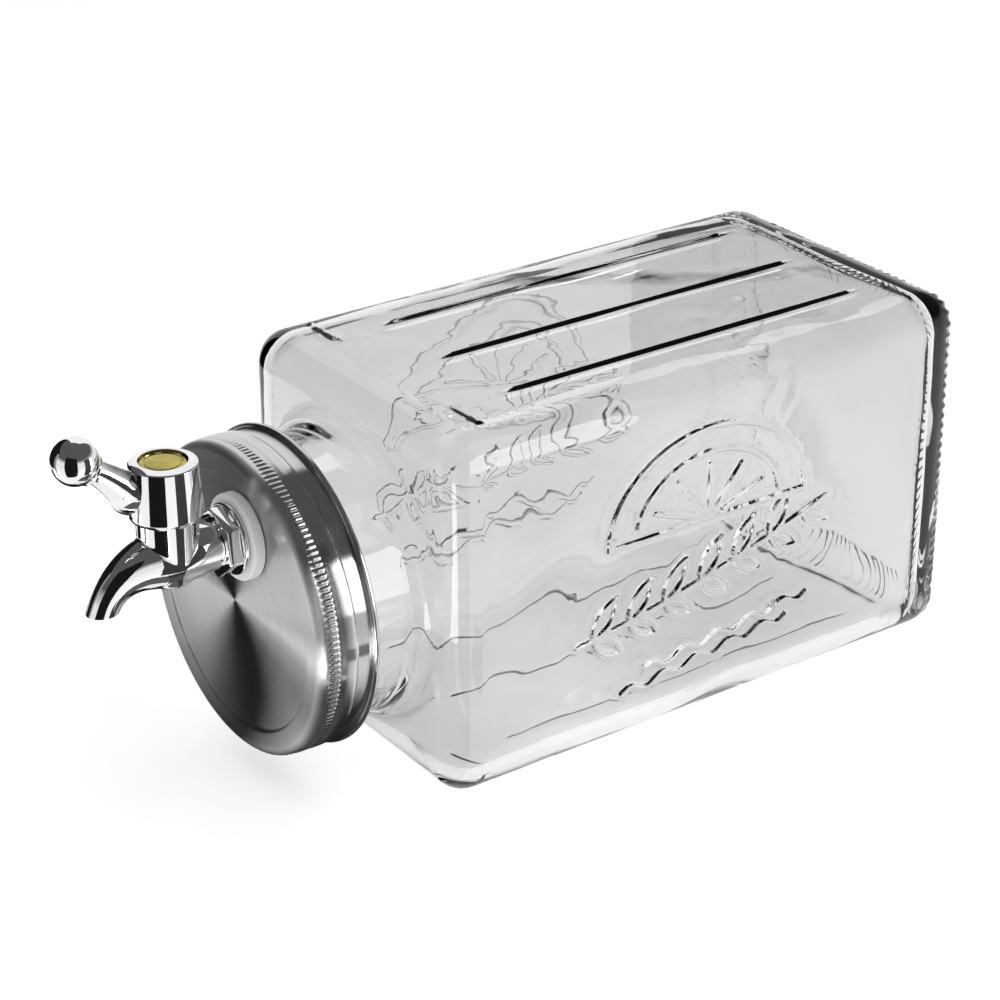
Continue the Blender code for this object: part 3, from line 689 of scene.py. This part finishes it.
def jar_rows(neck_end, shoulder_from, base_origin, body_step, fine, ribs):
    """Rows of rays from the rim to the base, closer together where the surface turns."""
    shoulder_origin = SHOULDER_Y + 0.051
    rows = [(y, 0) for y in np.linspace(RIM_Y + RIM_ROUND, neck_end, round(34 * fine))]
    rows += [(shoulder_origin, tilt) for tilt in np.linspace(shoulder_from, -19, round(44 * fine))]
    rows += [(shoulder_origin, tilt) for tilt in np.linspace(-16.5, 0, round(8 * fine))]
    body = list(np.arange(shoulder_origin + body_step, base_origin - body_step / 2, body_step))
    if ribs:
        ends = [side * (RIB_HALF_LENGTH + extra) for side in (-1, 1) for extra in RIB_END_ROWS]
        body = sorted([y for y in body if min(abs(y - end) for end in ends) > 0.0007] + ends)
    rows += [(y, 0) for y in body if shoulder_origin < y < base_origin]
    rows += [(base_origin, tilt) for tilt in np.linspace(0, 10, 4)]
    rows += [(base_origin, tilt) for tilt in np.linspace(11.5, 34, round(30 * fine))]
    rows += [(base_origin, tilt) for tilt in np.linspace(37, 87, round(16 * fine))]
    return rows


def jar_columns():
    """Turns about the axis, with several across each rib and more round the body's edges."""
    top = set(np.round(np.linspace(-FLAT_X, FLAT_X, 36), 5))
    for rib in (-RIB_SPACING, 0, RIB_SPACING):
        top = {x for x in top if abs(x - rib) > RIB_CLEAR}
        top |= {round(rib + side * offset, 5) for side in (-1, 1) for offset in RIB_COLUMNS}
    turns = []
    for x in top:
        turns += [math.atan2(HALF_HEIGHT, x), math.atan2(-HALF_HEIGHT, x)]
    for z in np.linspace(-FLAT_Z, FLAT_Z, 31):
        turns += [math.atan2(z, HALF_WIDTH), math.atan2(z, -HALF_WIDTH)]
    for side_x in (-1, 1):
        for side_z in (-1, 1):
            for a in np.linspace(0, 90, 11)[1:-1]:
                x = FLAT_X + EDGE_RADIUS * math.cos(math.radians(a))
                z = FLAT_Z + EDGE_RADIUS * math.sin(math.radians(a))
                turns.append(math.atan2(side_z * z, side_x * x))
    turns = sorted({round(turn % math.tau, 7) for turn in turns})
    return turns if len(turns) % 2 == 0 else turns[:-1]


def wanted_edge(points):
    """The longest edge that the relief allows at each point."""
    wanted = np.full(len(points), 1.0)
    side = np.abs(points[:, 0]) > HALF_WIDTH - 0.0005
    for i in np.nonzero(side)[0]:
        far = STROKES.distance(points[i, 1], points[i, 2])
        if far < 0.0018:
            wanted[i] = 0.00065
        elif far < 0.0032:
            wanted[i] = 0.0014
    flat = np.abs(points[:, 2] - AXIS_Z) > HALF_HEIGHT - 0.0005
    off_x = np.abs(np.abs(points[:, 0]) - LUG_CENTRE[0]) - LUG_HALF[0]
    off_y = np.abs(points[:, 1] - LUG_CENTRE[1]) - LUG_HALF[1]
    wanted[flat & (off_x < 0.0015) & (off_y < 0.0015)] = 0.0006
    wanted[heel_window(points) > 0.01] = 0.0014
    return wanted


def perimeter_table():
    """Distance round the body's outline for each turn about the axis, starting at -X."""
    turns = np.linspace(-math.pi, math.pi, 4001)
    outline = cast(outer_distance, [(BODY_CENTRE[1], 0)], turns)[0]
    lengths = np.linalg.norm(np.diff(outline, axis=0), axis=1)
    return turns, np.concatenate([[0], np.cumsum(lengths)])


PERIMETER = perimeter_table()


def heel_window(points):
    """1 on the ring of short ridges round the base's edge, fading to 0 beside it."""
    normal = gradient(outer_distance, points)
    near_base = points[:, 1] > BASE_Y - EDGE_RADIUS
    slope = np.degrees(np.arcsin(np.clip(normal[:, 1], -1, 1)))
    rise = np.clip((slope - 22) / 12, 0, 1)
    inset = np.minimum(FLAT_X - np.abs(points[:, 0]), FLAT_Z - np.abs(points[:, 2] - AXIS_Z))
    fall = np.clip((0.0035 - inset) / 0.0015, 0, 1)
    return np.where(near_base, rise * fall, 0)


def bar(distance, half):
    """The height, from 0 to 1, across a rounded bar."""
    crest = np.cos(np.clip(distance / half, -1, 1) * math.pi / 2) ** 2
    return np.where(np.abs(distance) < half, crest, 0)


def relief(points):
    """How far each point of the jar's outside stands proud of the plain shape."""
    x, y, z = points.T
    level = np.abs(z - AXIS_Z) > HALF_HEIGHT - FACE_MARGIN
    height = np.zeros(len(points))
    ends = np.clip((RIB_HALF_LENGTH - np.abs(y)) / 0.0014 + 1, 0, 1)
    for rib in (-RIB_SPACING, 0, RIB_SPACING):
        height += np.where(level, RIB_HEIGHT * bar(x - rib, RIB_HALF_WIDTH) ** 0.6 * ends, 0)
    off_x = np.clip((LUG_HALF[0] + 0.0006 - np.abs(np.abs(x) - LUG_CENTRE[0])) / 0.0012, 0, 1)
    off_y = bar(y - LUG_CENTRE[1], LUG_HALF[1] + 0.0003) ** 0.6
    height += np.where(level, LUG_HEIGHT * np.sin(off_x * math.pi / 2) * off_y, 0)
    for i in np.nonzero(np.abs(x) > HALF_WIDTH - FACE_MARGIN)[0]:
        far = STROKES.distance(y[i], z[i])
        if far < EMBOSS_HALF_WIDTH:
            share = min((EMBOSS_HALF_WIDTH - far) / EMBOSS_EDGE, 1)
            height[i] += EMBOSS_HEIGHT * share**2 * (3 - 2 * share)
    turns = np.arctan2(z - AXIS_Z, x)
    around = np.interp(turns, *PERIMETER) / PERIMETER[1][-1]
    ridge = (0.5 + 0.5 * np.cos(math.tau * HEEL_RIDGES * around)) ** 1.5
    height += HEEL_RIDGE_HEIGHT * heel_window(points) * ridge
    on_neck = (y < SHOULDER_Y - 0.006) & (y > RIM_Y + RIM_ROUND)
    last_turn = THREAD_TURNS * math.tau
    for lap_start in (0, math.tau):
        turn = (turns % math.tau) + lap_start
        thread_y = PANEL_Y + THREAD_START + THREAD_PITCH * (THREAD_TURNS - turn / math.tau)
        taper = np.clip(np.minimum(turn, last_turn - turn) / 0.25, 0, 1)
        ridge = THREAD_RIDGE * bar(y - thread_y, THREAD_HALF_WIDTH) ** 0.7 * taper
        height += np.where(on_neck & (turn < last_turn), ridge, 0)
    return height


def refine(shape, passes=4):
    """Splits edges that are longer than the relief allows."""
    for _ in range(passes):
        edges = shape.edges[:]
        ends = np.array([[*e.verts[0].co, *e.verts[1].co] for e in edges])
        middle = (ends[:, :3] + ends[:, 3:]) / 2
        length = np.linalg.norm(ends[:, :3] - ends[:, 3:], axis=1)
        long_ones = length > wanted_edge(middle) * 1.2
        chosen = [edge for edge, take in zip(edges, long_ones) if take]
        if not chosen:
            return
        bmesh.ops.subdivide_edges(shape, edges=chosen, cuts=1, use_grid_fill=True)


def push_up(points):
    """Presses the middle of the base inwards."""
    radius = np.hypot(points[:, 0], points[:, 2] - AXIS_Z)
    share = np.clip(1 - (radius / PUSH_UP_RADIUS) ** 2, 0, 1)
    depth = PUSH_UP_DEPTH * share**1.3
    points[:, 1] -= np.where(points[:, 1] > BASE_Y - 0.0002, depth, 0)
    return points


def ripple(points):
    """Uneven glass: how far the inside of the jar waves in and out, none of it near the mouth."""
    waves = (
        (0.00026, (61, 97, 43), 0.4),
        (0.00022, (-88, 52, 75), 1.9),
        (0.00018, (120, -71, 98), 4.1),
        (0.00014, (35, 148, -112), 2.7),
        (0.00010, (-150, 116, 164), 5.3),
    )
    height = sum(size * np.sin(points @ way + phase) for size, way, phase in waves)
    return height * np.clip((points[:, 1] - (SHOULDER_Y - 0.004)) / 0.02, 0, 1)


def make_jar():
    columns = jar_columns()
    count = len(columns)
    outer_rows = jar_rows(SHOULDER_Y - 0.012, -49, 0.084, 0.0040, 1.0, ribs=True)
    outer = cast(outer_distance, outer_rows, columns).reshape(-1, 3)
    pole = np.array([[0, BASE_Y, AXIS_Z]])
    faces = grid_faces(len(outer_rows), count)
    last = (len(outer_rows) - 1) * count
    faces += [(last + j, last + (j + 1) % count, len(outer)) for j in range(count)]
    mesh = bpy.data.meshes.new("glass_jar")
    mesh.from_pydata(np.concatenate([outer, pole]).tolist(), [], faces)
    shape = bmesh.new()
    shape.from_mesh(mesh)
    refine(shape)
    points = np.array([v.co for v in shape.verts], float)
    normal = gradient(outer_distance, points)
    points -= normal * outer_distance(points)[:, None]
    points += normal * relief(points)[:, None]
    points = push_up(points)
    for vert, point in zip(shape.verts, points):
        vert.co = point

    half_columns = columns[::2]
    inner_rows = jar_rows(SHOULDER_Y - 0.008, -50, 0.078, 0.0045, 0.6, ribs=False)
    inner = cast(inner_distance, inner_rows, half_columns).reshape(-1, 3)
    inner_normal = gradient(inner_distance, inner)
    inner = inner + inner_normal * ripple(inner)[:, None]
    inner_pole = np.array([[0, INNER_CENTRE[1] + INNER_HALF[1], AXIS_Z]])
    inner_pole += np.array([[0, 1, 0]]) * ripple(inner_pole)[:, None]
    rim_outer = sorted(
        (v for v in shape.verts if v.is_boundary),
        key=lambda v: math.atan2(v.co.z - AXIS_Z, v.co.x) % math.tau,
    )
    verts = [shape.verts.new(p) for p in np.concatenate([inner, inner_pole])]
    half = len(half_columns)
    for a, b, c, d in grid_faces(len(inner_rows), half):
        shape.faces.new((verts[a], verts[b], verts[c], verts[d]))
    last = (len(inner_rows) - 1) * half
    for j in range(half):
        shape.faces.new((verts[last + j], verts[last + (j + 1) % half], verts[-1]))
    close_rim(shape, rim_outer, verts[:half], columns)
    bmesh.ops.recalc_face_normals(shape, faces=shape.faces[:])
    shape.to_mesh(mesh)
    shape.free()
    jar = add_object("glass_jar", mesh, GLASS, angle=None)
    mesh.shade_smooth()
    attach(jar, "jar")
    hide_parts("jar")


def close_rim(shape, outer_ring, inner_ring, columns):
    """The rounded lip between the outside's columns and the inside's, which are half as many."""
    profile = arc((NECK_RADIUS - RIM_ROUND, 0), RIM_ROUND, 0, 90, 5)[1:]
    profile += arc((NECK_BORE + RIM_ROUND, 0), RIM_ROUND, 90, 180, 5)[:-1]
    ring = outer_ring
    count = len(columns)
    for radius, rise in profile:
        y = RIM_Y + RIM_ROUND - rise
        after = [
            shape.verts.new((radius * math.cos(t), y, AXIS_Z + radius * math.sin(t)))
            for t in columns
        ]
        for j in range(count):
            k = (j + 1) % count
            shape.faces.new((ring[j], ring[k], after[k], after[j]))
        ring = after
    for j in range(0, count, 2):
        k = (j + 2) % count
        shape.faces.new((ring[j], ring[j + 1], ring[k], inner_ring[k // 2], inner_ring[j // 2]))


# ---- lid


def tap_point(forward, height):
    """A point given from the tap's own axis: forward of the lid's panel, and above the barrel."""
    return Vector((TAP_X, PANEL_Y - forward, TAP_Z + height))


def knurl(radius, height, turns):
    """Rounded teeth round the lid's knurled band."""
    share = (KNURL_FROM - height) / (KNURL_FROM - KNURL_TO)
    if not 0 < share < 1 or radius < LID_RADIUS - KNURL_ROOT:
        return np.full(len(turns), radius)
    tooth = np.clip(1.25 * (0.5 + 0.5 * np.cos(turns * KNURL_TEETH)), 0, 1)
    window = min(1, math.sin(share * math.pi) * 1.7)
    return radius - KNURL_ROOT + KNURL_HEIGHT * window * tooth


def lid_profile():
    """The lid's section: panel, front ring, knurled band, bulge, neck, curled rim, then back."""
    corner_centre = (LID_RADIUS - LID_CORNER, RING_FRONT - LID_CORNER)
    bead = (LID_RADIUS + 0.0001, -LID_DEPTH + RIM_BEAD)
    outside = [(0.0, 0.0), (0.012, 0.0), (0.030, 0.0), (0.042, 0.0), (0.0475, 0.0)]
    lip = [(0.048, 0.0), (PANEL_RADIUS, 0.0)]
    lip += [(PANEL_RADIUS + 0.0006, RING_FRONT), (0.0515, RING_FRONT)]
    outside += rounded(lip, (0.0004, 0.0004), 4)
    outside += [(0.0535, RING_FRONT)] + arc(corner_centre, LID_CORNER, 90, 0, 14)
    outside += [(LID_RADIUS, KNURL_FROM + (KNURL_TO - KNURL_FROM) * i / 14) for i in range(1, 15)]
    bulge = [(-0.0082, 0.0), (-0.0089, 0.00022), (-0.0098, 0.00032)]
    bulge += [(-0.0112, 0.00034), (-0.0126, 0.00032), (-0.0136, 0.00022)]
    outside += [(LID_RADIUS + rise, height) for height, rise in bulge]
    neck = [(LID_RADIUS + 0.0001, -0.0141), (LID_NECK_RADIUS, -0.0150), (LID_NECK_RADIUS, -0.0196)]
    outside += rounded(neck, (0.0006,), 5)
    outside += arc(bead, RIM_BEAD, 132, -182, 22)
    inside = [(LID_NECK_RADIUS - LID_STEEL, -0.0152), (LID_RADIUS - 0.0005, -0.0136)]
    inside += [(LID_RADIUS - 0.0005, -0.0084), (LID_RADIUS - LID_STEEL, -0.0064)]
    inside += arc(corner_centre, LID_CORNER - LID_STEEL, 0, 90, 8)
    inside += [(PANEL_RADIUS + 0.001, RING_FRONT - LID_STEEL)]
    inside += [(PANEL_RADIUS + 0.0004, -LID_STEEL), (0.0, -LID_STEEL)]
    return outside + inside


def make_lid():
    centre = (0, PANEL_Y, AXIS_Z)
    steps = KNURL_TEETH * 6
    lid = turned("brushed_lid", lid_profile(), centre, "Y", steps, material=STEEL, wave=knurl)
    hole = prism("lid_tap_hole", SHANK_HOLE, 0.02, tap_point(0, 0), 64, "Y")
    combine(lid, "DIFFERENCE", hole, angle=75)
    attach(lid, "lid")
    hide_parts("lid_shell")


def make_washer():
    corners = [(SHANK_HOLE, GAP), (SHANK_HOLE, WASHER_FRONT), (WASHER_RADIUS, WASHER_FRONT)]
    corners += [(WASHER_RADIUS, GAP), (SHANK_HOLE, GAP)]
    profile = rounded(corners, (0.0003, 0.0012, 0.0005), 7)[:-1]
    centre = tap_point(0, 0)
    washer = turned("tap_washer", profile, centre, "Y", closed=True, material=WHITE_RUBBER)
    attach(washer, "lid")
    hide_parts("outer_washer")


# ---- tap


# The spout's middle line: forward of the panel, height above the barrel, and radius
SPOUT_ROUTE = (
    (0.022, 0.0, 0.0094),
    (0.030, 0.0, 0.0105),
    (0.038, 0.0001, 0.0097),
    (0.045, -0.0015, 0.0079),
    (0.0508, -0.0048, 0.0064),
    (0.0550, -0.0098, 0.0056),
    (0.0580, -0.0165, 0.0056),
)


def tap_tube(name, route, steps, sides):
    """A bent solid along (forward, height, radius) points in the tap's own upright plane."""
    points = [(PANEL_Y - forward, TAP_Z + height, size, size) for forward, height, size in route]
    tube = swept(name, smooth_route(points, steps), sides)
    tube.data.transform(Matrix.Translation((TAP_X, 0, 0)))
    return tube


def smooth_casting(obj, voxel, rounds):
    """Makes joined shapes one skin and softens its inner corners, as in a polished casting."""
    remesh = obj.modifiers.new("one_skin", "REMESH")
    remesh.mode = "VOXEL"
    remesh.voxel_size = voxel
    smoothing = obj.modifiers.new("polish", "SMOOTH")
    smoothing.factor = 0.5
    smoothing.iterations = rounds
    apply_modifiers(obj)


def make_tap_body():
    at_lid, at_hub = tap_point(0, 0), tap_point(HUB_REACH, 0)
    barrel = [(0.0, HUB_REACH + 0.006), (0.006, HUB_REACH + 0.006), (0.0098, HUB_REACH + 0.003)]
    barrel += [(0.0106, HUB_REACH), (0.0102, 0.0204), (0.0091, HEX_FRONT - 0.001)]
    barrel = rounded(barrel + [(0.0, HEX_FRONT - 0.001)], (0.002, 0.002, 0.004, 0.01, 0, 0))
    body = turned("tap_casting", barrel, at_lid, "Y", material=CHROME)
    neck_outline = [(0.0, TAP_NECK_TOP), (TAP_NECK_RADIUS, TAP_NECK_TOP), (TAP_NECK_RADIUS, 0.001)]
    neck_outline += [(0.0088, -0.0085), (0.0, -0.0098)]
    neck = turned("valve_neck", rounded(neck_outline, (0.0006, 0.004, 0.002)), at_hub)
    combine(body, "UNION", neck, tap_tube("spout", SPOUT_ROUTE, 10, 64))
    smooth_casting(body, 0.00032, 14)

    back = WASHER_FRONT + GAP
    flange = [(0.0, FLANGE_FRONT), (FLANGE_RADIUS, FLANGE_FRONT), (FLANGE_RADIUS, back)]
    flange += [(SHANK_RADIUS, back), (SHANK_RADIUS, -SHANK_INSIDE), (0.0, -SHANK_INSIDE)]
    shank = turned("shank", rounded(flange, (0.0009, 0.0005, 0, 0.0006)), at_lid, "Y")
    radius = HEX_ACROSS_FLATS / 2 / math.cos(math.radians(30))
    depth = HEX_FRONT - FLANGE_FRONT + 0.0006
    middle = tap_point(HEX_FRONT - depth / 2, 0)
    collar = prism("hex_collar", radius, depth, middle, 6, "Y", turn=HEX_TURN, edge=0.0007)
    combine(body, "UNION", shank, collar)

    open_top = TAP_NECK_TOP + 0.002
    hollow = [(0.0, open_top), (GLAND_BORE, open_top), (GLAND_BORE, GLAND_SEAT)]
    hollow += [(CHAMBER_RADIUS, GLAND_SEAT - 0.0002), (CHAMBER_RADIUS, CHAMBER_FLOOR)]
    chamber = turned("chamber", hollow + [(0.0, CHAMBER_FLOOR)], at_hub, steps=64)
    inlet = prism("inlet_bore", WATERWAY, 0.05, tap_point(HUB_REACH - 0.027, 0), 48, "Y")
    water = [(0.034, 0.0), *(point[:2] for point in SPOUT_ROUTE[2:]), (0.0592, -0.021)]
    outlet = tap_tube("outlet_bore", [(*point, WATERWAY) for point in water], 8, 48)
    below_tip = block("below_tip", (0.03, 0.03, 0.02), tap_point(0.058, -SPOUT_TIP_DROP - 0.01))
    combine(body, "DIFFERENCE", chamber, inlet, outlet, below_tip)
    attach(body, "lid")
    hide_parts("tap_body")


def hub_outline():
    corners = [(0.0, HUB_TOP), (DISC_RADIUS + 0.0006, HUB_TOP)]
    corners += [(HUB_TOP_RADIUS, HUB_TOP - HUB_CROWN), (HUB_FOOT_RADIUS, HUB_FOOT + 0.0016)]
    corners += [(HUB_FOOT_RADIUS - 0.0009, HUB_FOOT), (0.0, HUB_FOOT)]
    return rounded(corners, (0.0003, 0.0008, 0.0006, 0.0003), 6)


# The arm's middle line: reach, height above the hub's top, half depth and half width
ARM_ROUTE = (
    (0.0050, -0.0100, 0.0078, 0.0056),
    (0.0125, -0.0092, 0.0080, 0.0050),
    (0.0165, -0.0056, 0.0064, 0.0042),
    (0.0205, -0.0018, 0.0052, 0.0034),
    (0.0245, 0.0016, 0.0045, 0.0029),
    (0.0295, 0.0056, 0.0042, 0.0027),
)


def ball_outline():
    """The ball and its small collar, with the arm's end below."""
    collar = [(0.0060, -0.0061), (0.0061, -0.0070), (0.0053, -0.0077), (0.0, -0.0077)]
    ball = [(0.0, BALL_RADIUS)] + arc((0, 0), BALL_RADIUS, 88, -44, 44)
    return ball + rounded(collar, (0.0003, 0.0003), 4)


def make_handle():
    at = tap_point(HUB_REACH, 0)
    handle = turned("chrome_lever", hub_outline(), at, material=CHROME)
    steps = 8
    knots = [(-reach, HUB_TOP + rise, *size) for reach, rise, *size in ARM_ROUTE]
    route = smooth_route(knots, steps)
    arm = swept("arm", route, sides=96, power=1.45)
    arm.data.transform(Matrix.Translation(at))
    start, end = route[-1 - steps], route[-1]
    lean = math.atan2(end[1] - start[1], start[0] - end[0])
    ball = turned("ball", ball_outline(), (0, 0, 0))
    ball.data.transform(
        Matrix.Translation(at + Vector((0, -BALL_REACH, HUB_TOP + BALL_RISE)))
        @ Matrix.Rotation(math.radians(90) - lean, 4, "X")
    )
    combine(handle, "UNION", arm, ball)
    above, recess, counterbore = HUB_TOP + 0.001, HUB_TOP - DISC_RECESS, HUB_TOP - 0.0052
    bore = [(0.0, above), (DISC_RADIUS + GAP, above), (DISC_RADIUS + GAP, recess)]
    bore += [(SCREW_HEAD_BORE, recess), (SCREW_HEAD_BORE, counterbore), (SCREW_BORE, counterbore)]
    bore += [(SCREW_BORE, STEM_TOP - 0.001), (0.0, STEM_TOP - 0.001)]
    screw_bore = turned("screw_bore", bore, at, steps=96)
    socket_height = STEM_TOP + GAP - GLAND_HEAD_TOP
    side = SQUARE_SIDE + 2 * GAP
    middle = tap_point(HUB_REACH, GLAND_HEAD_TOP + socket_height / 2)
    socket = block("stem_socket", (side, side, socket_height), middle)
    skirt_top, skirt_foot = GLAND_HEAD_TOP + 0.0008, HUB_FOOT - 0.002
    hollow = [(0.0, skirt_top), (HUB_SKIRT_BORE - 0.001, skirt_top)]
    hollow += [(HUB_SKIRT_BORE, skirt_top - 0.001), (HUB_SKIRT_BORE, skirt_foot)]
    skirt = turned("skirt_hollow", hollow + [(0.0, skirt_foot)], at)
    combine(handle, "DIFFERENCE", screw_bore, socket, skirt)
    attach(handle, "valve")
    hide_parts("lever_handle")


def make_disc():
    """The domed disc that hides the screw, with a fine groove near its edge."""
    foot, top = DISC_LOW.z - TAP_Z, DISC_HIGH.z - TAP_Z
    face = (
        (0.0, 0.0), (0.003, 0.00001), (0.0056, 0.00006), (0.0063, 0.0001), (0.0065, 0.0003),
        (0.0069, 0.0003), (0.0071, 0.0001), (0.0079, 0.00015), (0.0083, 0.0003),
        (DISC_RADIUS, 0.0006),
    )
    outline = [(radius, top - drop) for radius, drop in face] + [(DISC_RADIUS, foot), (0.0, foot)]
    disc = turned("gold_disc", outline, tap_point(HUB_REACH, 0), material=GOLD)
    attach(disc, "valve")
    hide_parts("indicator_disc")


# ---- carried-over CAD pieces


CARRIED = {
    "lid_insert": WHITE_PLASTIC, "slip_washer": WHITE_PLASTIC, "thrust_washer": WHITE_PLASTIC,
    "lid_gasket": WHITE_RUBBER, "inner_washer": WHITE_RUBBER, "lock_nut": CHROME,
    "valve_plug": BRASS, "gland_nut": BRASS,
    "spring_washer": PLAIN_STEEL, "handle_screw": PLAIN_STEEL,
    "plug_o_ring_upper": DARK_RUBBER, "plug_o_ring_lower": DARK_RUBBER, "stem_o_ring": DARK_RUBBER,
}


def finish_carried():
    for name, material in CARRIED.items():
        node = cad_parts[name]
        node.data.materials.clear()
        node.data.materials.append(material)


# ---- studio


def floor_material():
    nodes = Nodes("pale_floor")
    nodes.set(Roughness=0.7)
    nodes.shader.inputs["Emission Color"].default_value = (1, 1, 1, 1)
    nodes.shader.inputs["Emission Strength"].default_value = 0.60
    speck = nodes.noise(nodes.object_coordinates(), 3.0, 2.0)
    nodes.colour(speck, (0.86, 0.86, 0.86), (0.88, 0.88, 0.88))
    return nodes.material


def make_floor():
    shape = bmesh.new()
    bmesh.ops.create_grid(shape, x_segments=2, y_segments=2, size=4.0)
    floor = object_from(shape, "floor", floor_material(), angle=None)
    floor.location.z = JAR_LOW.z - 0.0002


def glow(name, strength):
    material = bpy.data.materials.new(name)
    material.use_nodes = True
    tree = material.node_tree
    tree.nodes.remove(tree.nodes["Principled BSDF"])
    emission = tree.nodes.new("ShaderNodeEmission")
    emission.inputs["Color"].default_value = (strength, strength, strength, 1)
    tree.links.new(emission.outputs[0], tree.nodes["Material Output"].inputs["Surface"])
    return material


def card(name, brightness, size, place):
    """A card that only reflections show, of a size and put in place by a matrix."""
    shape = bmesh.new()
    bmesh.ops.create_grid(shape, x_segments=1, y_segments=1, size=0.5)
    bmesh.ops.transform(shape, verts=shape.verts[:], matrix=place @ Matrix.Diagonal((*size, 1, 1)))
    obj = object_from(shape, name, glow(name, brightness), angle=None)
    obj.visible_camera = False
    obj.visible_diffuse = False
    obj.visible_transmission = False
    obj.visible_shadow = False


def standing_card(name, centre, azimuth, distance, low, high, width, brightness):
    """A card that stands upright and faces the centre that it is placed round."""
    a = math.radians(azimuth)
    x, y = centre.x + distance * math.sin(a), centre.y - distance * math.cos(a)
    turn = Matrix.Rotation(a, 4, "Z") @ Matrix.Rotation(math.radians(90), 4, "X")
    place = Matrix.Translation((x, y, (low + high) / 2)) @ turn
    card(name, brightness, (width, high - low), place)


def lying_card(name, centre, azimuth, near, far, width, brightness):
    """A card that lies on the floor and runs away from the centre."""
    a = math.radians(azimuth)
    reach = (near + far) / 2
    x, y = centre.x + reach * math.sin(a), centre.y - reach * math.cos(a)
    place = Matrix.Translation((x, y, JAR_LOW.z + 0.002)) @ Matrix.Rotation(a, 4, "Z")
    card(name, brightness, (width, far - near), place)


def area_light(name, azimuth, elevation, distance, size, power):
    a, e = math.radians(azimuth), math.radians(elevation)
    light = bpy.data.lights.new(name, "AREA")
    light.shape = "RECTANGLE"
    light.size, light.size_y = size
    light.energy = power
    lamp = bpy.data.objects.new(name, light)
    bpy.context.scene.collection.objects.link(lamp)
    towards = Vector((math.sin(a) * math.cos(e), -math.cos(a) * math.cos(e), math.sin(e)))
    lamp.location = towards * distance
    lamp.rotation_euler = towards.to_track_quat("Z", "Y").to_euler()
    lamp.visible_glossy = False


def make_world():
    """White round the horizon and dark above, so that glass edges and chrome show dark lines."""
    world = bpy.data.worlds.new("studio")
    bpy.context.scene.world = world
    world.use_nodes = True
    tree = world.node_tree
    background = tree.nodes["Background"]
    place = tree.nodes.new("ShaderNodeTexCoord")
    parts = tree.nodes.new("ShaderNodeSeparateXYZ")
    ramp = tree.nodes.new("ShaderNodeValToRGB")
    tree.links.new(place.outputs["Generated"], parts.inputs[0])
    tree.links.new(parts.outputs["Z"], ramp.inputs["Fac"])
    ramp.color_ramp.elements[0].position = 0.16
    ramp.color_ramp.elements[0].color = (0.95, 0.95, 0.95, 1)
    ramp.color_ramp.elements[1].position = 0.42
    ramp.color_ramp.elements[1].color = (0.10, 0.10, 0.10, 1)
    tree.links.new(ramp.outputs["Color"], background.inputs["Color"])
    background.inputs["Strength"].default_value = 1.0


def make_lights():
    area_light("key", 110, 55, 1.6, (1.0, 1.0), 6)
    area_light("fill", -40, 60, 1.6, (0.8, 0.8), 4)
    area_light("back", 215, 50, 1.6, (0.9, 0.5), 4)


def make_cards():
    """White cards and black flags round the tap and lid.

    An azimuth of 0 is in front of the lid, and 90 is on the side that carries the motif.
    """
    hub = tap_point(HUB_REACH, 0)
    lid = Vector((0, PANEL_Y, 0))
    side = Vector((LID_RADIUS, PANEL_Y + 0.01, 0))
    # name, centre, azimuth, distance, low, high, width, brightness
    standing_card("flag_camera", hub, 39.5, 0.15, 0.0, 0.25, 0.14, 0.01)
    standing_card("flag_side", hub, 110, 0.13, 0.0, 0.20, 0.075, 0.05)
    standing_card("flag_thin", hub, -25, 0.16, 0.0, 0.22, 0.030, 0.30)
    standing_card("flag_low_front", lid, -62, 0.10, 0.0, 0.066, 0.06, 0.01)
    standing_card("flag_low_left", lid, -92, 0.10, 0.0, 0.066, 0.06, 0.01)
    standing_card("flag_high", lid, -60, 0.30, 0.03, 0.36, 0.42, 0.01)
    standing_card("card_top", hub, -126, 0.35, 0.15, 0.80, 0.35, 1.0)
    standing_card("card_side", side, 121, 0.25, 0.07, 0.24, 0.22, 5.0)
    # name, centre, azimuth, near, far, width, brightness
    lying_card("flag_floor", lid, -57, 0.02, 0.30, 0.10, 0.01)
    lying_card("flag_under", lid, 180, -0.01, 0.05, 0.24, 0.02)
    lying_card("card_floor", lid, -22, 0.17, 0.34, 0.13, 3.5)
    lying_card("card_edge", Vector((0.062, -0.12, 0)), 38, 0.12, 0.28, 0.06, 7.0)
    lying_card("flag_ring", Vector((0.075, -0.19, 0)), 20, -0.05, 0.05, 0.075, 0.12)
    lying_card("flag_grip", side, 127, 0.11, 0.16, 0.06, 0.02)


def make_camera():
    back = Vector((
        math.sin(CAMERA_AZIMUTH) * math.cos(CAMERA_ELEVATION),
        -math.cos(CAMERA_AZIMUTH) * math.cos(CAMERA_ELEVATION),
        math.sin(CAMERA_ELEVATION),
    ))
    right = Vector((math.cos(CAMERA_AZIMUTH), math.sin(CAMERA_AZIMUTH), 0))
    up = back.cross(right)
    data = bpy.data.cameras.new("camera")
    data.lens = CAMERA_LENS
    data.sensor_width = CAMERA_SENSOR
    camera = bpy.data.objects.new("camera", data)
    bpy.context.scene.collection.objects.link(camera)
    turn = Matrix((right, up, back)).transposed().to_4x4()
    camera.matrix_world = Matrix.Translation(CAMERA_TARGET + back * CAMERA_DISTANCE) @ turn
    bpy.context.scene.camera = camera


make_jar()
make_lid()
make_washer()
make_tap_body()
make_handle()
make_disc()
finish_carried()
make_floor()
make_world()
make_lights()
make_cards()
make_camera()
bpy.context.scene.view_settings.view_transform = "Standard"
